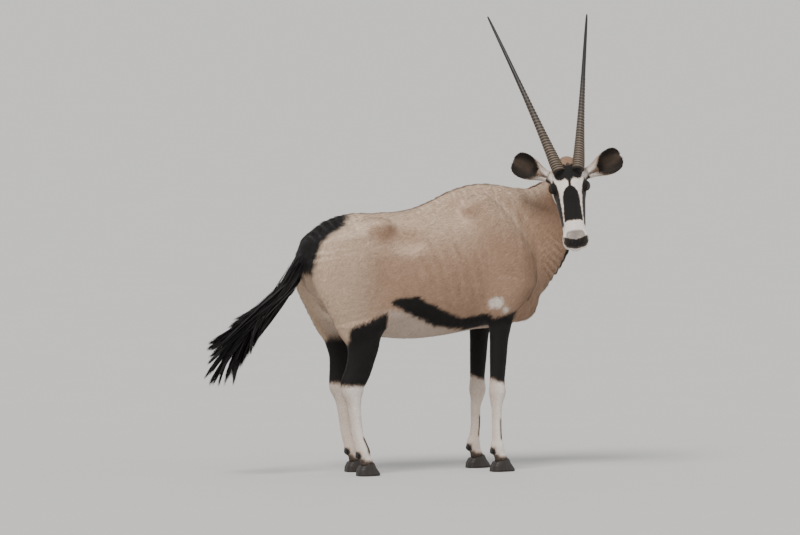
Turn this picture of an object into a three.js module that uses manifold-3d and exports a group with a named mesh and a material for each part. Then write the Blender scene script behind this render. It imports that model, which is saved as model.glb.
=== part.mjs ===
// Gemsbok, standing, life size in millimetres. +X is the way it faces, +Y its left side, +Z is up.
// Each fleshy part is a slice of one smooth body form, so neighbours meet in matching flat cuts.
import * as THREE from 'three';
import Module from 'manifold-3d';

const wasm = await Module();
wasm.setup();

// Driving dimensions.
const LEG_SPREAD = 110; // half the distance between left and right feet
const CUT_GAP = 0.3; // clear gap at each cut between two parts
const SHORTEST_EDGE = 0.08; // shorter edges are welded away
const KNEE_CUT = 296; // height of the cut under the knee
const HOCK_CUT = 322; // height of the cut under the hock
const CORONET = 47; // height of the hoof's upper edge at the middle of the foot
const CORONET_SLOPE = 0.22; // rise of that edge toward the toe
const HORN_LENGTH = 800;
const HORN_BASE_RADIUS = 25;
const HORN_RINGS = 30;
const EAR_LENGTH = 182;
const EAR_THICKNESS = 3.6;
const EYE_RADIUS = 21;

// Small vector tools.
const plus = (a, b, k = 1) => [a[0] + k * b[0], a[1] + k * b[1], a[2] + k * b[2]];
const minus = (a, b) => plus(a, b, -1);
const times = (a, k) => [a[0] * k, a[1] * k, a[2] * k];
const dot = (a, b) => a[0] * b[0] + a[1] * b[1] + a[2] * b[2];
const cross = (a, b) => [a[1] * b[2] - a[2] * b[1], a[2] * b[0] - a[0] * b[2], a[0] * b[1] - a[1] * b[0]];
const size = (a) => Math.hypot(a[0], a[1], a[2]);
const unit = (a) => times(a, 1 / size(a));
const mix = (a, b, t) => a.map((value, i) => value + (b[i] - value) * t);
const radians = (degrees) => (degrees * Math.PI) / 180;

const across = ([x, y, z], sign) => [x, y * sign, z];

// A frame is an origin and three unit directions.
const BODY = { origin: [0, 0, 0], x: [1, 0, 0], y: [0, 1, 0], z: [0, 0, 1] };
const fromFrame = (f, p) => plus(plus(plus(f.origin, f.x, p[0]), f.y, p[1]), f.z, p[2]);
const turned = (f, v) => plus(plus(times(f.x, v[0]), f.y, v[1]), f.z, v[2]);

function mirrored(stations) {
  return stations.map(([x, y, ...rest]) => [x, -y, ...rest]);
}

function randomFrom(seed) {
  let state = seed;
  return () => {
    state = (state * 1664525 + 1013904223) % 4294967296;
    return state / 4294967296;
  };
}

// Where the head is held.
const HEAD_TURN = -110; // degrees the face is turned from straight ahead, to the animal's right
const HEAD_PITCH = 66; // degrees the long axis of the skull points below level
const HEAD_ROLL = 6; // degrees the crown leans to the animal's right
const HEAD_PLACE = [521, -286, 1206]; // between the eyes

function headFrame() {
  const turn = radians(HEAD_TURN);
  const pitch = radians(HEAD_PITCH);
  const roll = radians(HEAD_ROLL);
  const ahead = [Math.cos(turn), Math.sin(turn), 0];
  const left = [-Math.sin(turn), Math.cos(turn), 0];
  const up = [0, 0, 1];
  const leanLeft = plus(times(left, Math.cos(roll)), up, Math.sin(roll));
  const leanUp = plus(times(up, Math.cos(roll)), left, -Math.sin(roll));
  return {
    origin: HEAD_PLACE,
    x: plus(times(ahead, Math.cos(pitch)), leanUp, -Math.sin(pitch)),
    y: leanLeft,
    z: plus(times(ahead, Math.sin(pitch)), leanUp, Math.cos(pitch)),
  };
}
const HEAD = headFrame();

// The body's form.
// A station of a tube is [x, y, z, half depth, half width]; blends are in millimetres.
const TRUNK = [
  [-545, 0, 885, 118, 90],
  [-470, 0, 890, 190, 135],
  [-380, 0, 880, 232, 160],
  [-250, 0, 850, 262, 178],
  [-100, 0, 838, 270, 194],
  [50, 0, 848, 268, 194],
  [180, 0, 868, 268, 178],
  [300, 0, 868, 262, 156],
  [390, 0, 850, 222, 122],
  [440, 0, 850, 160, 92],
];
const WITHERS = [
  [-90, 0, 1030, 60, 60],
  [20, 0, 1080, 66, 58],
  [120, 0, 1125, 72, 52],
  [215, 0, 1146, 74, 48],
  [320, 0, 1135, 72, 48],
  [400, -6, 1120, 72, 50],
];
const SHOULDER_BLADE = [
  [185, 78, 1130, 70, 34],
  [250, 108, 1010, 98, 52],
  [325, 122, 895, 98, 58],
  [372, 116, 800, 72, 52],
];
const UPPER_ARM = [
  [365, 112, 800, 70, 50],
  [310, 120, 765, 88, 56],
  [262, 116, 705, 72, 50],
];
const HAUNCH = [
  [-425, 92, 985, 130, 76],
  [-412, 104, 900, 172, 86],
  [-395, 116, 800, 165, 82],
  [-383, 126, 715, 132, 70],
  [-364, 126, 640, 103, 56],
];
const NECK = [
  [330, 0, 920, 240, 118],
  [400, -2, 965, 232, 108],
  [464, -12, 1010, 192, 96],
  [530, -44, 1082, 146, 82],
  [575, -88, 1165, 110, 74],
  [572, -146, 1238, 88, 66],
  [552, -200, 1278, 76, 60],
];

// Legs: one list from elbow or thigh to the hoof's edge. Each foot is set at its own step.
function foreLeg(cannonX, fetlockX, footX) {
  return [
    [264, 113, 705, 70, 48],
    [276, 111, 640, 56, 41],
    [272, LEG_SPREAD, 560, 43, 35],
    [267, LEG_SPREAD, 450, 36, 30],
    [264, LEG_SPREAD, 385, 33, 30],
    [265, LEG_SPREAD, 338, 37, 33],
    [262, LEG_SPREAD, 300, 29, 27],
    [cannonX, LEG_SPREAD, 262, 23, 21],
    [cannonX, LEG_SPREAD, 195, 21.5, 19],
    [(cannonX + fetlockX) / 2, LEG_SPREAD, 140, 23, 21],
    [fetlockX, LEG_SPREAD, 106, 30, 27],
    [fetlockX + 9, LEG_SPREAD, 76, 26, 25],
    [footX - 2, LEG_SPREAD, 50, 29, 28],
    [footX + 4, LEG_SPREAD, 34, 32, 30],
  ];
}

function hindLeg(step, footX) {
  return [
    [-364, 126, 640, 103, 58],
    [-356, 124, 560, 76, 47],
    [-362 + 0.3 * step, 120, 500, 62, 40],
    [-377 + 0.6 * step, 116, 440, 57, 35],
    [-397 + step, 113, 395, 54, 32],
    [-399 + step, 112, 360, 50, 31],
    [-394 + step, 111, 325, 37, 28],
    [-388 + step, LEG_SPREAD, 275, 28, 24],
    [-374 + step, LEG_SPREAD, 175, 26, 22],
    [-358 + step, LEG_SPREAD, 125, 29, 26],
    [-350 + step, LEG_SPREAD, 102, 31, 28],
    [(footX - 350 + step) / 2, LEG_SPREAD, 74, 26, 26],
    [footX - 2, LEG_SPREAD, 50, 29, 28],
    [footX + 4, LEG_SPREAD, 34, 32, 30],
  ];
}

const FEET = [
  { end: 'fore', side: 'left', sign: 1, foot: 265, line: foreLeg(256, 246, 265) },
  { end: 'fore', side: 'right', sign: -1, foot: 285, line: foreLeg(262, 265, 285) },
  { end: 'hind', side: 'left', sign: 1, foot: -296, line: hindLeg(35, -296) },
  { end: 'hind', side: 'right', sign: -1, foot: -330, line: hindLeg(0, -330) },
];

// The skull in the head's own frame: x to the nose, y to its left, z out of the forehead.
const SKULL = [
  [-112, 0, -2, 58, 50],
  [-85, 0, 0, 70, 60],
  [-40, 0, -8, 82, 70],
  [0, 0, -15, 84, 72],
  [50, 0, -17, 75, 62],
  [100, 0, -14, 61, 55],
  [150, 0, -12, 50, 50],
  [195, 0, -14, 42, 49],
  [228, 0, -19, 37, 51],
  [240, 0, -22, 33, 48],
];
const HORN_FOOT = [-100, 50, 60];
const EAR_FOOT = [-60, 66, -14];
const EAR_LIE = { left: unit([-68, 158, 0]), right: unit([-98, 150, 0]) };
const EAR_OPEN = unit([0.5, 0.1, 0.86]);
const EYE_PLACE = [0, 65, 17];
// The way each horn runs from base to tip, in the body's own directions.
const HORN_RUN = { left: [231, 445, 597], right: [-97, 492, 601] };
const sideName = (sign) => (sign > 0 ? 'left' : 'right');
const inHead = (v) => [dot(v, HEAD.x), dot(v, HEAD.y), dot(v, HEAD.z)];
const hornLie = (sign) => unit(inHead(HORN_RUN[sideName(sign)]));
const earLie = (sign) => across(EAR_LIE[sideName(sign)], sign);

const TAIL_DOCK = [
  [-560, 0, 912, 30, 27],
  [-600, 0, 885, 27, 25],
  [-632, 0, 818, 23, 21],
  [-682, 0, 764, 19, 18],
  [-735, 0, 715, 15, 14],
  [-790, 0, 660, 11, 10],
];

// Distance to tubes and ovals.
const TUBE_STEPS = 5;

function smoothLine(stations, steps = TUBE_STEPS) {
  const line = [];
  const last = stations.length - 1;
  for (let i = 0; i < last; i += 1) {
    const a = stations[Math.max(i - 1, 0)];
    const b = stations[i];
    const c = stations[i + 1];
    const d = stations[Math.min(i + 2, last)];
    for (let j = 0; j < steps; j += 1) {
      const t = j / steps;
      line.push(b.map((value, n) => 0.5 * (
        2 * value + (c[n] - a[n]) * t + (2 * a[n] - 5 * value + 4 * c[n] - d[n]) * t * t
        + (3 * value - a[n] - 3 * c[n] + d[n]) * t * t * t)));
    }
  }
  line.push(stations[last]);
  return line;
}

function stretched(u, s, w, a, b, r) {
  const k0 = Math.hypot(u / a, s / b, w / r);
  if (k0 < 1e-6) {
    return -Math.min(a, b, r);
  }
  const k1 = Math.hypot(u / (a * a), s / (b * b), w / (r * r));
  return (k0 * (k0 - 1)) / k1;
}

function boxOf(points, reach) {
  const low = [0, 1, 2].map((i) => Math.min(...points.map((p) => p[i])) - reach);
  const high = [0, 1, 2].map((i) => Math.max(...points.map((p) => p[i])) + reach);
  return { low, high };
}

function outside(box, p) {
  return Math.hypot(...[0, 1, 2].map((i) => Math.max(box.low[i] - p[i], 0, p[i] - box.high[i])));
}

// A tube's sections lie across its line; `level` keeps their width level, for the turning neck.
function tube(stations, blend, { frame = BODY, cap = 30, level = false } = {}) {
  const line = smoothLine(stations).map((s) => ({ at: fromFrame(frame, s), a: s[3], b: s[4] }));
  const widest = Math.max(...line.map((s) => Math.max(s.a, s.b)));
  const box = boxOf(line.map((s) => s.at), widest + cap);
  const links = [];
  for (let i = 0; i + 1 < line.length; i += 1) {
    const from = line[i];
    const to = line[i + 1];
    const along = unit(minus(to.at, from.at));
    const guide = level ? cross([0, 0, 1], along) : frame.y;
    const side = unit(plus(guide, along, -dot(guide, along)));
    links.push({ from, to, along, side, depth: cross(along, side), length: size(minus(to.at, from.at)) });
  }
  const distance = (p) => {
    let least = 1e9;
    for (const link of links) {
      const q = minus(p, link.from.at);
      const reach = dot(q, link.along);
      const on = Math.min(Math.max(reach, 0), link.length);
      const t = on / link.length;
      const a = link.from.a + (link.to.a - link.from.a) * t;
      const b = link.from.b + (link.to.b - link.from.b) * t;
      least = Math.min(least, stretched(dot(q, link.depth), dot(q, link.side), reach - on, a, b, cap));
    }
    return least;
  };
  return { box, blend, distance };
}

function oval(centre, radii, blend, frame = BODY) {
  const at = fromFrame(frame, centre);
  const box = boxOf([at], Math.max(...radii));
  const distance = (p) => {
    const q = minus(p, at);
    return stretched(dot(q, frame.x), dot(q, frame.y), dot(q, frame.z), ...radii);
  };
  return { box, blend, distance };
}

const FAR = 120;

function bodyForm(added, carved) {
  return (p) => {
    let value = 1e9;
    for (const part of added) {
      const away = outside(part.box, p);
      const d = away > FAR ? away : part.distance(p);
      const near = Math.max(part.blend - Math.abs(value - d), 0);
      value = Math.min(value, d) - (near * near) / (4 * part.blend);
    }
    for (const part of carved) {
      const away = outside(part.box, p);
      const d = away > FAR ? -away : -part.distance(p);
      const near = Math.max(part.blend - Math.abs(value - d), 0);
      value = Math.max(value, d) + (near * near) / (4 * part.blend);
    }
    return value;
  };
}

const bothSides = (make) => [make(1), make(-1)];

function legLine(foot) {
  return foot.sign > 0 ? foot.line : mirrored(foot.line);
}

function legForm(foot) {
  const x = foot.line[10][0];
  const y = foot.sign * LEG_SPREAD;
  return [
    tube(legLine(foot), 34, { cap: 24 }),
    oval([x - 27, y + 13, 88], [11, 9, 15], 7),
    oval([x - 27, y - 13, 88], [11, 9, 15], 7),
  ];
}

function buildForm() {
  const pair = (stations, blend, options) => bothSides((sign) => (
    tube(sign > 0 ? stations : mirrored(stations), blend, options)));
  const twin = (centre, radii, blend, frame) => bothSides((sign) => (
    oval(across(centre, sign), radii, blend, frame)));
  const added = [
    tube(TRUNK, 1, { cap: 42 }),
    tube(WITHERS, 70, { cap: 50 }),
    ...pair(SHOULDER_BLADE, 36, { cap: 40 }),
    ...pair(UPPER_ARM, 34, { cap: 40 }),
    ...twin([235, 108, 800], [88, 52, 96], 40),
    ...pair(HAUNCH, 48, { cap: 60 }),
    ...twin([-276, 140, 700], [58, 42, 74], 40),
    ...twin([-268, 128, 1052], [46, 34, 36], 34),
    ...twin([-215, 138, 745], [60, 26, 88], 50),
    tube(NECK, 60, { cap: 40, level: true }),
    oval([425, 0, 690], [70, 84, 70], 50),
    ...FEET.flatMap(legForm),
    tube(SKULL, 34, { frame: HEAD, cap: 26 }),
    oval([-62, 0, 50], [62, 58, 34], 24, HEAD),
    ...twin([-12, 46, -62], [56, 24, 52], 26, HEAD),
    ...twin([-8, 62, 36], [30, 17, 15], 14, HEAD),
    ...twin(EYE_PLACE, [24.6, 24.6, 24.6], 8, HEAD),
    oval([226, 0, -66], [34, 36, 24], 16, HEAD),
    ...twin([228, 30, 2], [30, 22, 20], 14, HEAD),
    ...twin([226, 34, -30], [34, 20, 26], 16, HEAD),
    ...bothSides((sign) => tube(
      [[-40, 44 * sign, -14, 34, 30], [...across(EAR_FOOT, sign), 27, 25],
        [...plus(across(EAR_FOOT, sign), earLie(sign), 60), 25, 24]],
      14, { frame: HEAD, cap: 10 })),
    ...bothSides((sign) => tube(
      [[-80, 44 * sign, 40, 26, 26], [...across(HORN_FOOT, sign), 25, 25],
        [...plus(across(HORN_FOOT, sign), hornLie(sign), 44), 22, 22]],
      12, { frame: HEAD, cap: 8 })),
    tube(TAIL_DOCK, 30, { cap: 10 }),
  ];
  const carved = [
    ...twin([-198, 180, 1012], [88, 42, 58], 44),
    ...twin([100, 62, -52], [60, 14, 20], 24, HEAD),
  ];
  return bodyForm(added, carved);
}
const form = buildForm();

// From the form to closed solids.
function slope(field, p) {
  const h = 0.5;
  return [0, 1, 2].map((i) => {
    const step = [0, 0, 0];
    step[i] = h;
    return (field(plus(p, step)) - field(minus(p, step))) / (2 * h);
  });
}

function settled(field, start, reach) {
  let p = start;
  for (let turn = 0; turn < 4; turn += 1) {
    const value = field(p);
    const g = slope(field, p);
    const steep = Math.max(dot(g, g), 0.05);
    const step = Math.min(Math.max(-value / steep, -reach), reach);
    p = plus(p, g, step);
  }
  return p;
}

// Where a net pinches two sheets together, the same net is tried again from a slightly other corner.
function netOver(field, low, high, cell) {
  const closed = (p) => Math.max(field(p), ...p.map((value, i) => (
    Math.max(low[i] + cell[i] - value, value - high[i] + cell[i]))));
  for (let turn = 0; turn < 16; turn += 1) {
    const corner = low.map((value, i) => value - 0.11 * turn * cell[i] * (1 + 0.3 * i));
    try {
      return netFrom(closed, corner, high, cell);
    } catch (error) {
      if (error.code !== 'NotManifold' || turn === 15) {
        throw error;
      }
    }
  }
  return null;
}

// Where two filled corners of a grid square meet only across it, the weakest corner changes sides.
function partDiagonals(values, count, stride) {
  for (let turn = 0, changed = true; turn < 8 && changed; turn += 1) {
    changed = false;
    for (let at = 0; at + stride[2] < values.length; at += 1) {
      const place = [at % count[0], Math.floor(at / stride[1]) % count[1], Math.floor(at / stride[2])];
      for (const [u, v] of [[0, 1], [1, 2], [2, 0]]) {
        if (place[u] + 1 >= count[u] || place[v] + 1 >= count[v]) {
          continue;
        }
        const corners = [at, at + stride[u], at + stride[u] + stride[v], at + stride[v]];
        const filled = corners.map((n) => values[n] < 0);
        if (filled[0] === filled[2] && filled[1] === filled[3] && filled[0] !== filled[1]) {
          const weakest = corners.reduce((a, b) => (Math.abs(values[a]) <= Math.abs(values[b]) ? a : b));
          values[weakest] = values[weakest] < 0 ? 0.01 : -0.01;
          changed = true;
        }
      }
    }
  }
}

// One net of facets over a field's surface, with cells of its own size along each axis.
function netFrom(field, low, high, cell) {
  const count = [0, 1, 2].map((i) => Math.ceil((high[i] - low[i]) / cell[i]) + 1);
  const stride = [1, count[0], count[0] * count[1]];
  const corner = (i, j, k) => [low[0] + i * cell[0], low[1] + j * cell[1], low[2] + k * cell[2]];
  const values = new Float64Array(count[0] * count[1] * count[2]);
  for (let k = 0; k < count[2]; k += 1) {
    for (let j = 0; j < count[1]; j += 1) {
      for (let i = 0; i < count[0]; i += 1) {
        values[i + j * stride[1] + k * stride[2]] = field(corner(i, j, k));
      }
    }
  }
  partDiagonals(values, count, stride);
  const vertexOf = new Map();
  const vertices = [];
  const edges = [];
  for (let a = 0; a < 8; a += 1) {
    for (const axis of [0, 1, 2]) {
      if (!(a & (1 << axis))) {
        edges.push([a, a | (1 << axis)]);
      }
    }
  }
  const shift = (bits) => [bits & 1, (bits >> 1) & 1, (bits >> 2) & 1];
  for (let k = 0; k + 1 < count[2]; k += 1) {
    for (let j = 0; j + 1 < count[1]; j += 1) {
      for (let i = 0; i + 1 < count[0]; i += 1) {
        const base = i + j * stride[1] + k * stride[2];
        const at = (bits) => values[base + dot(shift(bits), stride)];
        let sum = [0, 0, 0];
        let found = 0;
        for (const [a, b] of edges) {
          const va = at(a);
          const vb = at(b);
          if (va < 0 !== vb < 0) {
            sum = plus(sum, mix(shift(a), shift(b), va / (va - vb)));
            found += 1;
          }
        }
        if (found > 0) {
          vertexOf.set(base, vertices.length);
          const [x, y, z] = times(sum, 1 / found);
          vertices.push(settled(field, corner(i + x, j + y, k + z), Math.min(...cell) * 0.35));
        }
      }
    }
  }
  const quads = [];
  for (let k = 1; k + 1 < count[2]; k += 1) {
    for (let j = 1; j + 1 < count[1]; j += 1) {
      for (let i = 1; i + 1 < count[0]; i += 1) {
        const base = i + j * stride[1] + k * stride[2];
        for (const axis of [0, 1, 2]) {
          const inHere = values[base] < 0;
          if (inHere === values[base + stride[axis]] < 0) {
            continue;
          }
          const u = stride[(axis + 1) % 3];
          const v = stride[(axis + 2) % 3];
          const quad = [base, base - u, base - u - v, base - v].map((cellAt) => vertexOf.get(cellAt));
          if (!inHere) {
            quad.reverse();
          }
          quads.push(quad);
        }
      }
    }
  }
  return solidFrom(vertices, splitQuads(quads, vertices));
}

// Splits each quad across its shorter diagonal, unless two quads would share that diagonal.
function splitQuads(quads, vertices) {
  const key = (a, b) => Math.min(a, b) * vertices.length + Math.max(a, b);
  const uses = new Map();
  for (const side of quads.flatMap((quad) => quad.map((n, i) => key(n, quad[(i + 1) % 4])))) {
    uses.set(side, (uses.get(side) ?? 0) + 1);
  }
  if ([...uses.values()].some((count) => count !== 2)) {
    throw Object.assign(new Error('a side is shared by more than two facets'), { code: 'NotManifold' });
  }
  const taken = new Set(uses.keys());
  const faces = [];
  for (const [a, b, c, d] of quads) {
    const shorter = size(minus(vertices[a], vertices[c])) <= size(minus(vertices[b], vertices[d]));
    if (taken.has(key(b, d)) || (shorter && !taken.has(key(a, c)))) {
      taken.add(key(a, c));
      faces.push(a, b, c, a, c, d);
    } else {
      taken.add(key(b, d));
      faces.push(b, c, d, b, d, a);
    }
  }
  return faces;
}

function solidFrom(vertices, faces) {
  return new wasm.Manifold(new wasm.Mesh({
    numProp: 3,
    vertProperties: new Float32Array(vertices.flat()),
    triVerts: new Uint32Array(faces),
  }));
}

function solidOf(geometry, matrix) {
  const placed = geometry.clone().applyMatrix4(matrix);
  const points = placed.getAttribute('position');
  const known = new Map();
  const vertices = [];
  const indexOf = (n) => {
    const p = [points.getX(n), points.getY(n), points.getZ(n)];
    const key = p.map((value) => Math.round(value * 1000)).join();
    if (!known.has(key)) {
      known.set(key, vertices.length);
      vertices.push(p);
    }
    return known.get(key);
  };
  const faces = Array.from(placed.index.array, indexOf);
  return solidFrom(vertices, faces);
}

function largest(solid) {
  const pieces = solid.decompose();
  return pieces.reduce((best, piece) => (piece.volume() > best.volume() ? piece : best));
}

// A long box whose end face stands on `at` and that runs along `way`.
function axisBox(at, way, halfWidth, length) {
  const along = new THREE.Vector3(...unit(way));
  const turn = new THREE.Quaternion().setFromUnitVectors(new THREE.Vector3(0, 0, 1), along);
  const centre = new THREE.Vector3(...at).addScaledVector(along, length / 2);
  const matrix = new THREE.Matrix4().compose(centre, turn, new THREE.Vector3(1, 1, 1));
  return solidOf(new THREE.BoxGeometry(2 * halfWidth, 2 * halfWidth, length), matrix);
}

const HUGE = 3000;
const beyond = (at, way) => axisBox(at, way, HUGE, HUGE);

// A region is a list of planes; its inside is behind every one of them.
function regionDepth(planes, p) {
  return Math.max(...planes.map(({ at, out }) => dot(minus(p, at), out)));
}

function regionSolid(planes, grown) {
  let solid = axisBox([0, 0, -HUGE / 2], [0, 0, 1], HUGE / 2, HUGE);
  for (const { at, out } of planes) {
    solid = solid.subtract(beyond(plus(at, out, grown), out));
  }
  return solid;
}

const opposite = ({ at, out }) => ({ at, out: times(out, -1) });

// The flesh inside a region, less any region in `less`, as one closed solid.
function fleshIn(planes, less, low, high, cell) {
  const margin = 1.7 * Math.max(...cell);
  const field = (p) => {
    let value = Math.max(form(p), regionDepth(planes, p) - margin);
    for (const taken of less) {
      value = Math.max(value, -regionDepth(taken, p) - margin);
    }
    return value;
  };
  let solid = netOver(field, low, high, cell).intersect(regionSolid(planes, -CUT_GAP / 2));
  for (const taken of less) {
    solid = solid.subtract(regionSolid(taken, CUT_GAP / 2));
  }
  return largest(solid);
}

// Cuts between the parts.
const plane = (at, out) => ({ at, out: unit(out) });
const NECK_BASE = plane([372, 0, 960], [0.97, -0.05, 0.2]);
const HEAD_JOINT = plane(fromFrame(HEAD, [-107, 0, -56]), turned(HEAD, [-0.741, 0, -0.672]));
const HEAD_REGION = [
  HEAD_JOINT,
  plane(fromFrame(HEAD, [-85, 0, -105]), turned(HEAD, [-0.407, 0, -0.914])),
  plane(fromFrame(HEAD, [0, -128, 0]), times(HEAD.y, -1)),
];
const TAIL_CUT = [
  plane([-593, 0, 900], [0.75, 0, 0.62]),
  plane([0, 36, 0], [0, 1, 0]),
  plane([0, -36, 0], [0, -1, 0]),
];

function legCut(foot) {
  const fore = foot.end === 'fore';
  const inner = fore ? 46 : 40;
  const low = fore ? 628 : 616;
  const rise = fore ? 0.8 : 0.62;
  return [
    plane([0, foot.sign * inner, low], [0, foot.sign * -rise, 1]),
    plane([0, foot.sign * inner, 0], [0, -foot.sign, 0]),
    plane([fore ? 395 : -190, 0, 0], [1, 0, 0]),
    plane([fore ? 175 : -540, 0, 0], [-1, 0, 0]),
  ];
}

const midCut = (foot) => plane([0, 0, foot.end === 'fore' ? KNEE_CUT : HOCK_CUT], [0, 0, -1]);
const coronetCut = (foot) => plane([foot.foot, 0, CORONET], [CORONET_SLOPE, 0, -1]);

// Swept and lofted forms.
function loft(rings, roundOff = true) {
  const around = rings[0].length;
  const vertices = rings.flat();
  const faces = [];
  for (let r = 0; r + 1 < rings.length; r += 1) {
    for (let i = 0; i < around; i += 1) {
      const a = r * around + i;
      const b = r * around + ((i + 1) % around);
      faces.push(a, b, b + around, a, b + around, a + around);
    }
  }
  for (let i = 1; roundOff && i + 1 < around; i += 1) {
    const top = (rings.length - 1) * around;
    faces.push(0, i + 1, i, top, top + i, top + i + 1);
  }
  return solidFrom(vertices, faces);
}

function ringAt(at, along, guide, halfDepth, halfWidth, around) {
  const side = unit(plus(guide, along, -dot(guide, along)));
  const depth = cross(along, side);
  return Array.from({ length: around }, (_, i) => {
    const turn = (2 * Math.PI * (i + 0.5)) / around;
    return plus(plus(at, depth, -halfDepth * Math.sin(turn)), side, -halfWidth * Math.cos(turn));
  });
}

// Horns.
const HORN_AROUND = 7;
const HORN_CURVE = 16; // how far the middle of the horn bows from a straight line

function hornAxis(sign, t) {
  const base = across(HORN_FOOT, sign);
  const straight = plus(base, hornLie(sign), HORN_LENGTH * t);
  const bow = 4 * HORN_CURVE * t * (1 - t);
  return fromFrame(HEAD, plus(straight, [-0.25, 0, 0.95], bow));
}

function hornRadius(t) {
  const slim = 0.42 + 0.58 * Math.pow(1 - t, 3);
  return HORN_BASE_RADIUS * slim * Math.pow(1 - t, 0.28) + 1.2;
}

function horn(sign) {
  const marks = [{ t: 0, swell: 0 }];
  let along = 10;
  for (let ring = 0; ring < HORN_RINGS; ring += 1) {
    const spacing = 11 + 8 * (ring / HORN_RINGS);
    const fade = 1 - 0.6 * (ring / HORN_RINGS) ** 2;
    marks.push({ t: along / HORN_LENGTH, swell: 2.4 * fade });
    marks.push({ t: (along + 0.55 * spacing) / HORN_LENGTH, swell: -0.9 * fade });
    along += spacing;
  }
  for (let t = marks[marks.length - 1].t + 0.07; t < 0.97; t += 0.085) {
    marks.push({ t, swell: 0 });
  }
  marks.push({ t: 0.985, swell: 0 });
  const rings = marks.map(({ t, swell }) => {
    const at = hornAxis(sign, t);
    const way = unit(minus(hornAxis(sign, t + 0.01), hornAxis(sign, t - 0.01)));
    const r = hornRadius(t) + swell;
    return ringAt(at, way, HEAD.y, r, r * 0.94, HORN_AROUND);
  });
  return loft(rings);
}

function hornStart(sign) {
  const at = fromFrame(HEAD, plus(across(HORN_FOOT, sign), hornLie(sign), 6));
  return { at, way: turned(HEAD, hornLie(sign)) };
}

// Ears.
// A stage of the ear is [share of the length, half width, depth, half opening of the rim in degrees].
const EAR_STAGES = [
  [0.22, 27, 26, 158],
  [0.35, 35, 30, 134],
  [0.47, 44, 32, 108],
  [0.59, 50, 30, 96],
  [0.72, 53, 26, 90],
  [0.84, 51, 20, 84],
  [0.93, 43, 13, 78],
  [0.985, 28, 8, 72],
  [1.0, 14, 5, 66],
];
const EAR_ACROSS = 8;

function earFrame(sign) {
  const lie = turned(HEAD, earLie(sign));
  const open = turned(HEAD, across(EAR_OPEN, sign));
  const facing = unit(plus(open, lie, -dot(open, lie)));
  return { origin: fromFrame(HEAD, across(EAR_FOOT, sign)), x: lie, y: cross(facing, lie), z: facing };
}

function earSheet(frame) {
  const layer = (inset) => EAR_STAGES.map(([t, width, depth, rim]) => (
    Array.from({ length: EAR_ACROSS + 1 }, (_, i) => {
      const turn = radians(rim) * ((2 * i) / EAR_ACROSS - 1);
      const wide = (width - inset) * Math.sin(turn);
      const deep = (depth - inset) * (0.35 - Math.cos(turn));
      return fromFrame(frame, [EAR_LENGTH * t, wide, deep]);
    })));
  const outer = layer(0);
  const inner = layer(EAR_THICKNESS);
  const rows = outer.length;
  const columns = EAR_ACROSS + 1;
  const vertices = [...outer.flat(), ...inner.flat()];
  const back = rows * columns;
  const faces = [];
  const quad = (a, b, c, d) => faces.push(a, b, c, a, c, d);
  for (let r = 0; r + 1 < rows; r += 1) {
    for (let c = 0; c + 1 < columns; c += 1) {
      const a = r * columns + c;
      faces.push(a, a + 1, a + columns, a + 1, a + columns + 1, a + columns);
      const b = a + back;
      faces.push(b, b + columns, b + 1, b + 1, b + columns, b + columns + 1);
    }
    const left = r * columns;
    const right = left + columns - 1;
    quad(left, left + columns, left + back + columns, left + back);
    quad(right, right + back, right + back + columns, right + columns);
  }
  for (let c = 0; c + 1 < columns; c += 1) {
    quad(c, c + back, c + 1 + back, c + 1);
    const top = (rows - 1) * columns + c;
    quad(top, top + 1, top + 1 + back, top + back);
  }
  return solidFrom(vertices, faces);
}

function earRoot(frame) {
  const stages = [[0.04, 27, 0], [0.16, 28.5, 5], [0.25, 31, 9], [0.38, 16, 6]];
  const rings = stages.map(([t, r, lift]) => ringAt(
    fromFrame(frame, [EAR_LENGTH * t, 0, lift]), frame.x, frame.y, r * 0.97, r, 9));
  return loft(rings);
}

function earStart(sign) {
  const frame = earFrame(sign);
  return { at: plus(frame.origin, frame.x, 18), way: frame.x };
}

function ear(sign) {
  const frame = earFrame(sign);
  const { at, way } = earStart(sign);
  return largest(earSheet(frame).add(earRoot(frame)).subtract(beyond(plus(at, way, CUT_GAP / 2), times(way, -1))));
}

// Eyes and the head's openings.
function eyeFrame(sign) {
  const outward = unit(turned(HEAD, across([0.28, 0.86, 0.38], sign)));
  const forward = unit(plus(HEAD.x, outward, -dot(HEAD.x, outward)));
  return { origin: fromFrame(HEAD, across(EYE_PLACE, sign)), x: forward, y: cross(outward, forward), z: outward };
}

function eyeBall(sign, radius) {
  const f = eyeFrame(sign);
  const basis = new THREE.Matrix4().makeBasis(
    new THREE.Vector3(...f.x), new THREE.Vector3(...f.z), new THREE.Vector3(...cross(f.x, f.z)));
  basis.setPosition(new THREE.Vector3(...f.origin));
  return solidOf(new THREE.SphereGeometry(radius, 12, 8), basis);
}

function eyeOpening(sign) {
  const f = eyeFrame(sign);
  const around = 12;
  const outline = (height, spread) => Array.from({ length: around }, (_, i) => {
    const turn = (2 * Math.PI * i) / around;
    const lens = Math.sign(Math.sin(turn)) * Math.abs(Math.sin(turn)) ** 1.25;
    return fromFrame(f, [16.5 * spread * Math.cos(turn), 10.5 * spread * lens, height]);
  });
  return loft([outline(6, 0.8), outline(34, 1.25)]);
}

// A bent rod of changing thickness through the given stations [x, y, z, half depth, half width].
function rod(stations, around, guide, frame = HEAD, steps = 2) {
  const line = smoothLine(stations, steps);
  const points = line.map((s) => fromFrame(frame, s));
  const rings = points.map((at, i) => {
    const way = unit(minus(points[Math.min(i + 1, points.length - 1)], points[Math.max(i - 1, 0)]));
    return ringAt(at, way, guide, line[i][3], line[i][4], around);
  });
  return loft(rings);
}

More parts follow.
